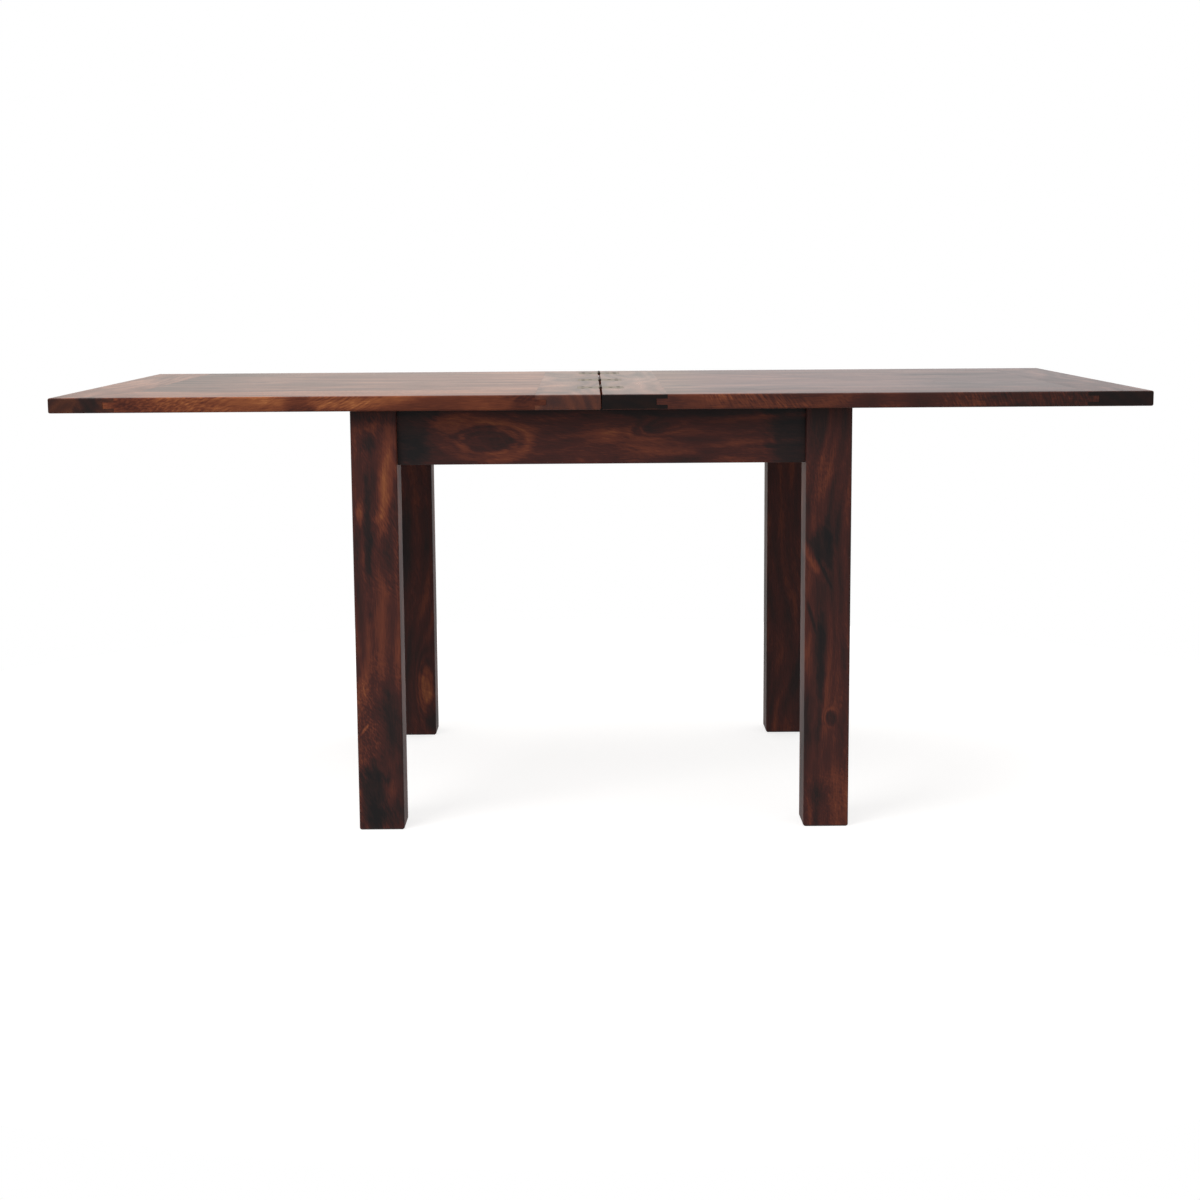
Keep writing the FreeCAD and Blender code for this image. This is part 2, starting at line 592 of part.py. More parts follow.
def make_leaf(name, seam_tools, board_tools):
    """Make one leaf: long boards tongued into an end board at the seam and one at the outer edge."""
    side = SIDES[name]
    board_profile = [
        (SEAM_SHOULDER, "0"),
        (OUTER_SHOULDER, "0"),
        (OUTER_SHOULDER, GROOVE_TOP),
        (f"({OUTER_SHOULDER} + tongue_length)", GROOVE_TOP),
        (f"({OUTER_SHOULDER} + tongue_length)", GROOVE_BOTTOM),
        (OUTER_SHOULDER, GROOVE_BOTTOM),
        (OUTER_SHOULDER, "leaf_thickness"),
        (SEAM_SHOULDER, "leaf_thickness"),
        (SEAM_SHOULDER, GROOVE_BOTTOM),
        (f"({SEAM_SHOULDER} - tongue_length)", GROOVE_BOTTOM),
        (f"({SEAM_SHOULDER} - tongue_length)", GROOVE_TOP),
        (SEAM_SHOULDER, GROOVE_TOP),
    ]
    faces = ("ZMin", "ZMax")
    ends = {0: "YMin", BOARD_COUNT - 1: "YMax"}
    for index in range(BOARD_COUNT):
        label = f"{name}_leaf_board_{index + 1}"
        middle = f"leaf_width * ({index} + 0.5) / {BOARD_COUNT} - leaf_width / 2"
        rounded = [(ends[index], face) for face in faces] if index in ends else []
        board = make_leaf_piece(label, side, board_profile, f"leaf_width / {BOARD_COUNT}", middle, rounded)
        keep(cut(board, board_tools) if board_tools else board, label)

    groove = "(tongue_length + tongue_clearance)"
    seam_profile = [
        (f"({SEAM_EDGE} + seam_arris)", "0"),
        (SEAM_SHOULDER, "0"),
        (SEAM_SHOULDER, GROOVE_TOP),
        (f"({SEAM_SHOULDER} - {groove})", GROOVE_TOP),
        (f"({SEAM_SHOULDER} - {groove})", GROOVE_BOTTOM),
        (SEAM_SHOULDER, GROOVE_BOTTOM),
        (SEAM_SHOULDER, "leaf_thickness"),
        (f"({SEAM_EDGE} + seam_arris)", "leaf_thickness"),
        (SEAM_EDGE, "leaf_thickness - seam_arris"),
        (SEAM_EDGE, "seam_arris"),
    ]
    across = [(end, face) for end in ("YMin", "YMax") for face in faces]
    label = f"{name}_seam_board"
    board = make_leaf_piece(label, side, seam_profile, "leaf_width", "0", across)
    keep(cut(board, seam_tools), label)

    outer_profile = [
        (OUTER_SHOULDER, "0"),
        (OUTER_EDGE, "0"),
        (OUTER_EDGE, "leaf_thickness"),
        (OUTER_SHOULDER, "leaf_thickness"),
        (OUTER_SHOULDER, GROOVE_BOTTOM),
        (f"({OUTER_SHOULDER} + {groove})", GROOVE_BOTTOM),
        (f"({OUTER_SHOULDER} + {groove})", GROOVE_TOP),
        (OUTER_SHOULDER, GROOVE_TOP),
    ]
    outer = "XMin" if side < 0 else "XMax"
    rim = across + [(outer, face) for face in faces]
    label = f"{name}_end_board"
    keep(make_leaf_piece(label, side, outer_profile, "leaf_width", "0", rim), label)


def hinge_middle(index):
    """Give the middle of a hinge along the seam."""
    return f"(hinge_front + {index} * hinge_pitch - leaf_width / 2)"


def make_hinge_plate(name, index, screw_holes):
    """Make one plate of a hinge with its own knuckles, bored for the pin and countersunk."""
    side = SIDES[name]
    label = f"{HINGE_NAMES[index]}_hinge_{name}_plate"
    body = new_body(label)
    plate = sketch_on(body, "XZ_Plane")
    low = "-fold_gap / 2 - hinge_plate_thickness"
    add_rectangle(plate, "0", low, f"{side} * hinge_reach", "-fold_gap / 2")
    extrude(body, "Pad", plate, "hinge_length")
    extrude(body, "Pad", add_circle(sketch_on(body, "XZ_Plane"), "barrel_diameter"), "hinge_length")

    room = "(barrel_diameter / 2 + turning_clearance)"
    knuckle = f"hinge_length / {KNUCKLE_COUNT}"
    last = KNUCKLE_COUNT - 1
    gaps = sketch_on(body, "XY_Plane")
    for number in range(KNUCKLE_COUNT):
        if (number % 2 == 0) == (name == "left"):
            continue
        before = "overrun" if number == 0 else "turning_clearance / 2"
        after = "overrun" if number == last else "turning_clearance / 2"
        start = f"{knuckle} * {number} - hinge_length / 2 - {before}"
        end = f"{knuckle} * {number + 1} - hinge_length / 2 + {after}"
        add_rectangle(gaps, f"-{room}", start, room, end)
    extrude(body, "Pocket", gaps, "2 * (barrel_diameter + hinge_plate_thickness)")
    pin_bore = add_circle(sketch_on(body, "XZ_Plane"), "hinge_pin_diameter + 2 * running_clearance")
    extrude(body, "Pocket", pin_bore, "hinge_length + 2 * overrun")
    place(body, "0", hinge_middle(index), HINGE_AXIS)
    keep(cut(body, [screw_holes]), label)


def make_hinges():
    """Make the hinges, their pins and screws. Return the cuts that each seam board needs for them."""
    pattern = [
        ("near_screw", "0"),
        ("far_screw", "-far_screw_spread / 2"),
        ("far_screw", "far_screw_spread / 2"),
    ]
    one_screw = screw("hinge")
    one_hole = screw_hole("hinge", "overrun")
    length = "(hinge_length + 2 * seat_clearance)"
    reach = "(hinge_reach + seat_clearance)"
    barrel = rod("barrel_room", "barrel_diameter + 2 * turning_clearance", length)
    pin = rod("hinge_pin", "hinge_pin_diameter", "hinge_length")
    recesses = []
    barrels = []
    pins = []
    for index in range(HINGE_COUNT):
        middle = hinge_middle(index)
        recesses.append(
            block(
                "hinge_recess",
                f"2 * {reach}",
                length,
                "hinge_plate_thickness + overrun",
                f"-{reach}",
                f"{middle} - {length} / 2",
                "top_height - hinge_plate_thickness",
            )
        )
        barrels.append(("0", f"{middle} - {length} / 2", HINGE_AXIS, LYING))
        pins.append(("0", f"{middle} - hinge_length / 2", HINGE_AXIS, LYING))
    keep(copies("pins", pin, pins), "hinge_pins")
    rooms = recesses + [copies("barrel_rooms", barrel, barrels)]

    tools = {}
    for name, side in SIDES.items():
        spots = [
            (f"{side} * {x}", f"{hinge_middle(index)} + {y}", "top_height", HANGING)
            for index in range(HINGE_COUNT)
            for x, y in pattern
        ]
        holes = copies(f"{name}_screw_holes", one_hole, spots)
        keep(copies(f"{name}_screws", one_screw, spots), f"{name}_hinge_screws")
        for index in range(HINGE_COUNT):
            make_hinge_plate(name, index, holes)
        tools[name] = rooms + [holes]
    return tools


def write_pieces():
    """Stop on any failed object or unsound shape, then write every piece to its own file."""
    doc.recompute()
    for item in doc.Objects:
        if {"Invalid", "Error"} & set(item.State):
            raise RuntimeError(f"{item.Label} failed: {item.State}")
    for piece in pieces:
        if piece.Shape.isNull() or not piece.Shape.isValid() or not piece.Shape.Solids:
            raise RuntimeError(f"{piece.Label} has no sound solid")
    os.makedirs("parts", exist_ok=True)
    for piece in pieces:
        piece.Shape.exportStep(os.path.join("parts", f"{piece.Label}.step"))
        print(f"{piece.Label}: {len(piece.Shape.Solids)} solids, {piece.Shape.Volume:.0f} mm3")


make_frame()
make_pivot_rail()
plate_room = make_pivot()
hinge_rooms = make_hinges()
make_leaf("left", hinge_rooms["left"], plate_room)
make_leaf("right", hinge_rooms["right"], [])
write_pieces()
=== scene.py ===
import json
import logging
import math
from dataclasses import dataclass, field, replace
from enum import Enum
from typing import Any

import bmesh
import bpy
import numpy as np
from mathutils import Matrix, Vector


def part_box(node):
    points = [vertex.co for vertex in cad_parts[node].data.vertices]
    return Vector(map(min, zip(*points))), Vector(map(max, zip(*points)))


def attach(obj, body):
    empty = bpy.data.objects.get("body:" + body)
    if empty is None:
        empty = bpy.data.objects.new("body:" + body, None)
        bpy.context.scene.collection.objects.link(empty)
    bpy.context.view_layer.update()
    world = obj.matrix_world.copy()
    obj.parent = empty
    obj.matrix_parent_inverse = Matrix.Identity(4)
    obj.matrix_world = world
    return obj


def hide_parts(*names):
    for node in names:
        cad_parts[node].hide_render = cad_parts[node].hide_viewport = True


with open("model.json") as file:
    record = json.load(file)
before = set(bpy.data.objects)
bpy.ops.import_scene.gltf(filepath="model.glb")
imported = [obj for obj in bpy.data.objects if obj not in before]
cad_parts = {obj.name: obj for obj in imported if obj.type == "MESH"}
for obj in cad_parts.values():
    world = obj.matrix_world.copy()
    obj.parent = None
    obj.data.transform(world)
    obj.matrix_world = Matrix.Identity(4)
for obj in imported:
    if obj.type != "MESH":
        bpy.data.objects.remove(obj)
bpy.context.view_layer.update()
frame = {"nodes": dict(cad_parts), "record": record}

MM = 0.001
LOG = logging.getLogger("table")
BODIES = frame["record"]["behaviour"]["bodies"]
BODY_OF = {node: body for body, nodes in BODIES.items() for node in nodes}
CORNERS = ("front_left", "front_right", "back_left", "back_right")

# Points nearer than this are one point: in the CAD's triangles, and after a cut or a bevel
SAME_POINT = 0.002 * MM
WELD = 0.01 * MM
# Angles between faces: below the first they are one face, below the second the edge between them is
# shaded smooth, and above the third it is eased
ONE_FACE = math.radians(0.5)
SMOOTH = math.radians(24)
SHARP = math.radians(50)
ARRIS_SEGMENTS = 2
# Ends of a fastener that differ in width by less than this are equally wide
EQUAL_WIDTH = 0.1 * MM

# Mean of a noise, from which a layer of grain darkens and lightens
MEAN = 0.5
# Way along the log from one seed to the next, in mm
LOG_STEP = 731.0
# Radians that the wave texture turns for each unit of its scale
WAVE_TURN = 20
# Parts of a face's normal along an axis at which a change begins and is whole: the stain in end
# grain, the dull finish off the show faces, and the gloss of ends and long edges
END_STAIN = (0.5, 0.9)
OFF_SHOW = (0.9, 0.5)
SIDE_GLOSS = (0.3, 0.6)
# Half-sizes of a patch at which its heart, its rim and its winding rings begin and are whole
HEART = (1.2, 0.3)
RIM = (1.9, 1.1)
SWELL = (1.8, 0.0)
# Part of its way from the middle of a knot by which the grain is pushed aside
PUSH = 0.85
# The shader's own gloss where nothing sets it
PLAIN_GLOSS = 0.5
WHITE = "ffffff"

# Types of the nodes that are used most
MATH = "ShaderNodeMath"
VECTOR = "ShaderNodeVectorMath"
RANGE = "ShaderNodeMapRange"
NOISE = "ShaderNodeTexNoise"
MAPPING = "ShaderNodeMapping"
MIX = "ShaderNodeMix"
SPLIT = "ShaderNodeSeparateXYZ"
COMBINE = "ShaderNodeCombineXYZ"
BUMP = "ShaderNodeBump"
PRINCIPLED = "ShaderNodeBsdfPrincipled"
CONE = "GeometryNodeMeshCone"
MOVE = "GeometryNodeTransform"
BOOLEAN = "GeometryNodeMeshBoolean"
MERGE = "GeometryNodeMergeByDistance"
Inputs = dict[str | int, Any]
Node = bpy.types.Node
Socket = bpy.types.NodeSocket
Tree = bpy.types.NodeTree


def linear(code: str) -> tuple[float, float, float, float]:
    """Turn an sRGB hex colour into linear light.

    Args:
        code: the colour as six hex digits.

    Returns:
        Linear red, green, blue and full alpha.
    """
    parts = [int(code[at : at + 2], 16) / 255 for at in (0, 2, 4)]
    light = [p / 12.92 if p <= 0.04045 else ((p + 0.055) / 1.055) ** 2.4 for p in parts]
    return light[0], light[1], light[2], 1.0


def add(tree: Tree, kind: str, inputs: Inputs | None = None, **settings: Any) -> Node:
    """Add a node with its settings, and feed its inputs.

    Args:
        tree: the tree that gets the node.
        kind: the node's type.
        inputs: plain values, sockets, nodes for their first output, or lists of these, by the
            input's name or number.
        settings: properties of the node, and the stops of a colour ramp.

    Returns:
        The new node.
    """
    node = tree.nodes.new(kind)
    ramp = settings.pop("stops", ())
    for name, value in settings.items():
        setattr(node, name, value)
    for name, value in (inputs or {}).items():
        for source in value if isinstance(value, list) else [value]:
            source = source.outputs[0] if isinstance(source, Node) else source
            if isinstance(source, Socket):
                tree.links.new(source, node.inputs[name])
            else:
                node.inputs[name].default_value = source
    for number, (position, code) in enumerate(ramp):
        stops = node.color_ramp.elements
        stop = stops[number] if number < len(stops) else stops.new(position)
        stop.position = position
        stop.color = linear(code)
    return node


def new_material(name: str) -> tuple[bpy.types.Material, Tree]:
    """Start a material.

    Args:
        name: what the surface is made of.

    Returns:
        The material and its emptied tree.
    """
    material = bpy.data.materials.new(name)
    material.use_nodes = True
    material.node_tree.nodes.clear()
    return material, material.node_tree


class Lay(Enum):
    """Axes of a wooden piece: along its grain, across its show face and through its thickness."""

    BOARD = "XYZ"
    CROSS_BOARD = "YXZ"
    LEG = "ZXY"
    LONG_APRON = "XZY"
    SIDE_APRON = "YZX"


@dataclass(frozen=True)
class Patch:
    """A knot, streak, bright fleck or band of painted shade on the show face, in mm from the middle
    of the piece.

    A positive depth darkens its heart and a negative one lightens it, glow brightens the rim, turns
    winds the rings round it, and slant turns it off the grain in degrees.
    """

    along: float
    across: float
    length: float
    width: float
    depth: float
    glow: float = 0.0
    turns: float = 0.0
    slant: float = 0.0


@dataclass(frozen=True)
class Cutting:
    """How one piece was sawn and rubbed down.

    Its lay and its place in the log, its tone, the slants of its bright fibres on the show face and
    on the edge in degrees and their strength, how light its end grain stays, how much duller it is
    than its neighbours, the shares of the gloss that its ends and its long edges have, and its
    patches.
    """

    lay: Lay
    seed: int
    tone: float = 0.0
    pith: tuple[float, float] = (35.0, 70.0)
    curl: tuple[float, float] = (16.0, 8.0)
    flame: float = 1.0
    soak: float = 0.3
    dull: float = 0.0
    gloss: tuple[float, float] = (1.0, 1.0)
    patches: tuple[Patch, ...] = ()


@dataclass(frozen=True)
class Figure:
    """One layer of grain: width across the grain in mm, width over length, octaves and strength."""

    width: float
    draw: float
    octaves: float
    gain: float


@dataclass(frozen=True)
class StainedWood:
    """Mango wood, planed and stained, then lacquered or left from the saw.

    The grain wanders, so dark heartwood runs in flowing streaks and clouds, and short bright fibres
    show through the stain where the clouds are light. End grain drinks more stain. The lacquer has
    a satin gloss that whitens at a low angle; it sinks into the dark grain, which stays duller, and
    so can the edges off the show faces. Widths, depths and the strength of the sway are in mm, and
    slants in degrees. Real pores are finer; they are drawn as coarse as they need to show.
    """

    name: str
    tones: tuple[tuple[float, str], ...]
    roughness: tuple[float, float]
    specular: float
    dull_edges: float = 0.0
    sway: Figure = Figure(150.0, 0.4, 1.0, 55.0)
    ring: Figure = Figure(17.0, 0.12, 2.0, 0.12)
    ring_bend: float = 4.0
    ring_bend_scale: float = 0.7
    band: Figure = Figure(30.0, 0.16, 5.0, 0.85)
    cloud: Figure = Figure(85.0, 0.55, 2.0, 0.6)
    fibre: Figure = Figure(2.6, 0.12, 3.0, 0.75)
    fibre_clouds: tuple[float, float] = (0.36, 0.58)
    pore: Figure = Figure(0.9, 0.05, 1.0, 0.3)
    pore_depth: float = 0.3
    fray: Figure = Figure(13.0, 0.3, 3.0, 1.5)
    fray_slants: tuple[float, float] = (20.0, 20.0)
    relief: float = 0.04

    def material(self, node: str, cutting: Cutting) -> bpy.types.Material:
        """Make the material of one piece.

        Args:
            node: the CAD node that the piece stands for.
            cutting: how the piece was sawn.

        Returns:
            The material, with the piece's own grain.
        """
        low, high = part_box(node)
        lay = cutting.lay.value
        material, tree = new_material(f"{self.name}_{node}")
        place = add(tree, "ShaderNodeTexCoord").outputs
        middle = {0: place["Object"], 1: (low + high) / 2}
        axes = add(tree, SPLIT, {0: add(tree, VECTOR, middle, operation="SUBTRACT")}).outputs
        turned = add(tree, COMBINE, {slot: axes[axis] for slot, axis in enumerate(lay)})
        grain = add(tree, VECTOR, {0: turned, "Scale": 1 / MM}, operation="SCALE")
        tone, pore = self.figure(tree, grain, cutting)

        normal = add(tree, VECTOR, {0: place["Normal"]}, operation="ABSOLUTE")
        facing = add(tree, SPLIT, {0: normal}).outputs
        ends, sides, shows = (facing[axis] for axis in lay)
        ramp = add(tree, "ShaderNodeValToRGB", {0: tone}, stops=self.tones)
        soak = {0: ends, 1: END_STAIN[0], 2: END_STAIN[1], 3: 1.0, 4: cutting.soak}
        share = add(tree, RANGE, soak, interpolation_type="SMOOTHSTEP")
        colour = add(tree, VECTOR, {0: ramp, "Scale": share}, operation="SCALE")
        fine, coarse = (cutting.dull + roughness for roughness in self.roughness)
        satin = add(tree, RANGE, {0: tone, 3: coarse, 4: fine})
        edges = add(tree, RANGE, {0: shows, 1: OFF_SHOW[0], 2: OFF_SHOW[1], 4: self.dull_edges})
        rough = add(tree, MATH, {0: satin, 1: edges}, operation="ADD")
        coat: Any = self.specular
        for side, gloss in zip((ends, sides), cutting.gloss):
            if gloss != 1.0:
                other = self.specular * gloss
                reach = {0: side, 1: SIDE_GLOSS[0], 2: SIDE_GLOSS[1], 3: coat, 4: other}
                coat = add(tree, RANGE, reach)
        relief = {"Height": pore, "Strength": self.relief, "Distance": self.pore_depth * MM}
        surface = {
            "Base Color": colour,
            "Roughness": rough,
            "Specular IOR Level": coat,
            "Normal": add(tree, BUMP, relief),
        }
        add(tree, "ShaderNodeOutputMaterial", {0: add(tree, PRINCIPLED, surface)})
        return material

    def figure(self, tree: Tree, grain: Node, cutting: Cutting) -> tuple[Node, Node]:
        """Lay the layers of grain over each other.

        Args:
            tree: the material's tree.
            grain: place on the piece in mm, from its middle.
            cutting: how the piece was sawn.

        Returns:
            The tone from dark to light, and the pores.
        """
        shift = (cutting.seed * LOG_STEP, *cutting.pith)
        grain, phase, tone = self.patched(tree, grain, shift, cutting)
        log = add(tree, VECTOR, {0: grain, 1: shift}, operation="ADD")
        sway = self.sway
        long = add(tree, VECTOR, {0: log, 1: (sway.draw, 1.0, 1.0)}, operation="MULTIPLY")
        sizes = {"Vector": long, "Scale": 1 / sway.width, "Detail": sway.octaves}
        drift = {0: add(tree, NOISE, sizes).outputs["Color"], 1: (MEAN, MEAN, MEAN)}
        swing = add(tree, VECTOR, drift, operation="SUBTRACT")
        swung = {0: swing, 1: (0.0, 2 * sway.gain, 2 * sway.gain), 2: log}
        flow = add(tree, VECTOR, swung, operation="MULTIPLY_ADD")

        drawn = add(tree, VECTOR, {0: flow, 1: (self.ring.draw, 1.0, 1.0)}, operation="MULTIPLY")
        rings = {
            "Vector": drawn,
            "Scale": math.tau / WAVE_TURN / self.ring.width,
            "Distortion": self.ring_bend,
            "Detail": self.ring.octaves,
            "Detail Scale": self.ring_bend_scale,
            "Phase Offset": phase,
        }
        ring = add(tree, "ShaderNodeTexWave", rings, wave_type="RINGS", rings_direction="X")
        band = self.layer(tree, flow, self.band)
        cloud = self.layer(tree, flow, self.cloud)
        pore = self.layer(tree, log, self.pore)
        fibre = self.layer(tree, flow, self.fibre, cutting.curl)
        light = {0: cloud, 1: self.fibre_clouds[0], 2: self.fibre_clouds[1], 4: cutting.flame}
        where = add(tree, RANGE, light, interpolation_type="SMOOTHSTEP")
        lift = add(tree, MATH, {0: fibre, 1: MEAN}, operation="SUBTRACT")
        curled = add(tree, MATH, {0: lift, 1: where, 2: MEAN}, operation="MULTIPLY_ADD")
        for value, figure in (
            (ring.outputs["Fac"], self.ring),
            (band, self.band),
            (cloud, self.cloud),
            (curled, self.fibre),
            (pore, self.pore),
        ):
            off = add(tree, MATH, {0: value, 1: MEAN}, operation="SUBTRACT")
            tone = add(tree, MATH, {0: off, 1: figure.gain, 2: tone}, operation="MULTIPLY_ADD")
        return tone, pore

    def layer(
        self, tree: Tree, log: Node, figure: Figure, slants: tuple[float, float] = (0.0, 0.0)
    ) -> Node:
        """Make one layer of grain.

        Args:
            tree: the material's tree.
            log: place in the log in mm.
            figure: the layer's widths.
            slants: its turns off the grain in degrees, on the show face and on the edge.

        Returns:
            The layer, from 0 to 1.
        """
        turn = (0.0, math.radians(slants[1]), math.radians(slants[0]))
        slanted = add(tree, MAPPING, {"Vector": log, "Rotation": turn})
        long = add(tree, VECTOR, {0: slanted, 1: (figure.draw, 1.0, 1.0)}, operation="MULTIPLY")
        sizes = {"Vector": long, "Scale": 1 / figure.width, "Detail": figure.octaves}
        return add(tree, NOISE, sizes)

    def patched(
        self, tree: Tree, grain: Node, shift: tuple[float, float, float], cutting: Cutting
    ) -> tuple[Node, Any, Any]:
        """Bend the grain round the patches, and darken or lighten them.

        Args:
            tree: the material's tree.
            grain: place on the piece in mm, from its middle.
            shift: place of that middle in the log in mm.
            cutting: the piece's patches and tone.

        Returns:
            The bent grain, the phase that the rings take and the tone that the layers start from.
        """
        phase: Any = 0.0
        tone: Any = MEAN + cutting.tone
        if not cutting.patches:
            return grain, phase, tone
        log = add(tree, VECTOR, {0: grain, 1: shift}, operation="ADD")
        ragged = {
            0: self.layer(tree, log, self.fray, self.fray_slants),
            1: self.fray.gain,
            2: -MEAN * self.fray.gain,
        }
        fray = add(tree, MATH, ragged, operation="MULTIPLY_ADD")
        bent = grain
        for patch in cutting.patches:
            middle = (patch.along, patch.across, 0.0)
            away = add(tree, VECTOR, {0: grain, 1: middle}, operation="SUBTRACT")
            turn = (0.0, 0.0, math.radians(patch.slant))
            turned = add(tree, MAPPING, {"Vector": away, "Rotation": turn})
            size = (2 / patch.length, 2 / patch.width, 0.0)
            scaled = add(tree, VECTOR, {0: turned, 1: size}, operation="MULTIPLY")
            clear = add(tree, VECTOR, {0: scaled}, operation="LENGTH").outputs["Value"]
            reach = add(tree, MATH, {0: clear, 1: fray}, operation="ADD")
            for (begins, whole), gain in ((HEART, -patch.depth - patch.glow), (RIM, patch.glow)):
                if gain:
                    fade = {0: reach, 1: begins, 2: whole}
                    share = add(tree, RANGE, fade, interpolation_type="SMOOTHSTEP")
                    tone = add(tree, MATH, {0: share, 1: gain, 2: tone}, operation="MULTIPLY_ADD")
            if patch.turns:
                fade = {0: clear, 1: SWELL[0], 2: SWELL[1]}
                swell = add(tree, RANGE, fade, interpolation_type="SMOOTHERSTEP")
                wound = {0: swell, 1: math.tau * patch.turns, 2: phase}
                phase = add(tree, MATH, wound, operation="MULTIPLY_ADD")
                side = add(tree, VECTOR, {0: away, 1: (0.0, -PUSH, 0.0)}, operation="MULTIPLY")
                push = add(tree, VECTOR, {0: side, "Scale": swell}, operation="SCALE")
                bent = add(tree, VECTOR, {0: bent, 1: push}, operation="ADD")
        return bent, phase, tone


@dataclass(frozen=True)
class DirtAndShade:
    """Old grime and painted shade along the seam at X = 0: where it begins and is whole in mm, its
    tone and shine.
    """

    reach: tuple[float, float]
    tone: str
    roughness: float
    specular: float


@dataclass(frozen=True)
class Fitting:
    """Finish of a small fitting: two tones in soft patches, and scratches or fibres in its shine.

    The widths of a patch and a scratch and the scratch's depth are in mm. The tones spread over a
    part of the patches' noise, and draw is a scratch's width over its length. Real scratches are
    finer; they are drawn as coarse as they need to show.
    """

    name: str
    tones: tuple[str, str]
    roughness: tuple[float, float]
    metallic: float = 1.0
    patch: float = 14.0
    patch_octaves: float = 4.0
    spread: tuple[float, float] = (0.2, 0.8)
    scratch: float = 0.8
    scratch_octaves: float = 2.0
    draw: float = 0.06
    relief: float = 0.08
    depth: float = 0.1
    dirt_and_shade: DirtAndShade | None = None

    def material(self) -> bpy.types.Material:
        """Make the material.

        Returns:
            The material.
        """
        material, tree = new_material(self.name)
        place = add(tree, "ShaderNodeTexCoord").outputs["Object"]
        sizes = {"Vector": place, "Scale": 1 / (self.patch * MM), "Detail": self.patch_octaves}
        patch = add(tree, RANGE, {0: add(tree, NOISE, sizes), 1: self.spread[0], 2: self.spread[1]})
        long = add(tree, MAPPING, {"Vector": place, "Scale": (1.0, self.draw, 1.0)})
        sizes = {"Vector": long, "Scale": 1 / (self.scratch * MM), "Detail": self.scratch_octaves}
        relief = {
            "Height": add(tree, NOISE, sizes),
            "Strength": self.relief,
            "Distance": self.depth * MM,
        }
        tones = {0: patch, 6: linear(self.tones[0]), 7: linear(self.tones[1])}
        surface = {
            "Base Color": add(tree, MIX, tones, data_type="RGBA").outputs[2],
            "Metallic": self.metallic,
            "Roughness": add(tree, RANGE, {0: patch, 3: self.roughness[0], 4: self.roughness[1]}),
            "Normal": add(tree, BUMP, relief),
        }
        if self.dirt_and_shade:
            self.darken_seam(tree, place, surface, self.dirt_and_shade)
        add(tree, "ShaderNodeOutputMaterial", {0: add(tree, PRINCIPLED, surface)})
        return material

    def darken_seam(self, tree: Tree, place: Socket, surface: Inputs, dirt_and_shade: DirtAndShade) -> None:
        """Lay old grime and painted shade over the surface along the seam.

        Args:
            tree: the material's tree.
            place: place on the piece.
            surface: what feeds the shader, which is changed.
            dirt_and_shade: the old grime and painted shade in the seam.
        """
        across = add(tree, SPLIT, {0: place}).outputs["X"]
        off = add(tree, MATH, {0: across}, operation="ABSOLUTE")
        cover = add(tree, RANGE, {0: off, 1: dirt_and_shade.reach[0] * MM, 2: dirt_and_shade.reach[1] * MM})
        tones = {0: cover, 6: surface["Base Color"], 7: linear(dirt_and_shade.tone)}
        surface["Base Color"] = add(tree, MIX, tones, data_type="RGBA").outputs[2]
        for name, clean, darkened in (
            ("Metallic", self.metallic, 0.0),
            ("Roughness", surface["Roughness"], dirt_and_shade.roughness),
            ("Specular IOR Level", PLAIN_GLOSS, dirt_and_shade.specular),
        ):
            surface[name] = add(tree, RANGE, {0: cover, 3: clean, 4: darkened})


# Legs and aprons: mango wood, planed, dark stain wiped over it and one coat of lacquer. Red-brown
# flames between nearly black streaks, with a satin shine.
FRAME_WOOD = StainedWood(
    name="stained_mango",
    tones=(
        (0.0, "131011"), (0.25, "251817"), (0.5, "43221e"),
        (0.72, "6a3728"), (0.9, "8d5334"), (1.0, "a86a40"),
    ),
    roughness=(0.42, 0.55),
    specular=0.15,
    dull_edges=0.1,
)
# Leaves: the same wood rubbed down between three coats, so the figure is calmer and the gloss is
# higher. The edges were coated once.
TOP_WOOD = replace(
    FRAME_WOOD,
    name="lacquered_mango",
    tones=(
        (0.0, "130f0e"), (0.25, "251714"), (0.5, "43211b"),
        (0.72, "6e3926"), (0.9, "955634"), (1.0, "b37144"),
    ),
    roughness=(0.22, 0.36),
    dull_edges=0.4,
    band=Figure(30.0, 0.12, 5.0, 0.45),
    cloud=Figure(85.0, 0.4, 2.0, 0.35),
    fibre=Figure(2.6, 0.12, 3.0, 0.45),
    relief=0.02,
)
# Inside of the frame: the same wood straight from the saw, with one thin coat of stain. Pale, dry
# and rough.
SAWN = StainedWood(
    name="sawn_mango",
    tones=((0.0, "3a2a20"), (0.5, "6b4c36"), (1.0, "97714f")),
    roughness=(0.62, 0.8),
    specular=0.3,
    relief=0.4,
)
# Hinges: rolled brass, browned by lacquer and handling. Clouds of dull gold and brown, with old
# grime and painted shade darkening the knuckles in the seam.
KNUCKLE_DIRT_AND_SHADE = DirtAndShade(reach=(2.55, 1.7), tone="2b2018", roughness=0.7, specular=0.15)
BRASS = Fitting(
    "antique_brass", ("423425", "7a6548"), (0.36, 0.48), patch=18.0, dirt_and_shade=KNUCKLE_DIRT_AND_SHADE
)
# Screws of the hinges: steel, browned in a bath. Nearly black, with a faint sheen.
BROWNED = Fitting("browned_steel", ("171412", "2a2420"), (0.6, 0.75))
# Bolts, nuts and plates: steel, zinc-plated in a drum. Bright grey, softly clouded and scratched.
ZINC = Fitting("zinc_plated_steel", ("8d9096", "b4b6b8"), (0.28, 0.42))
# Pads under the leaves: pressed wool. Dark and matt.
FELT = Fitting("wool_felt", ("1c1a19", "2b2826"), (0.9, 1.0), metallic=0.0, patch=3.0)
# Bush of the swivel: nylon turned from rod. Ivory and faintly shiny.
NYLON = Fitting("turned_nylon", ("cfcabc", "ded9cc"), (0.4, 0.5), metallic=0.0)


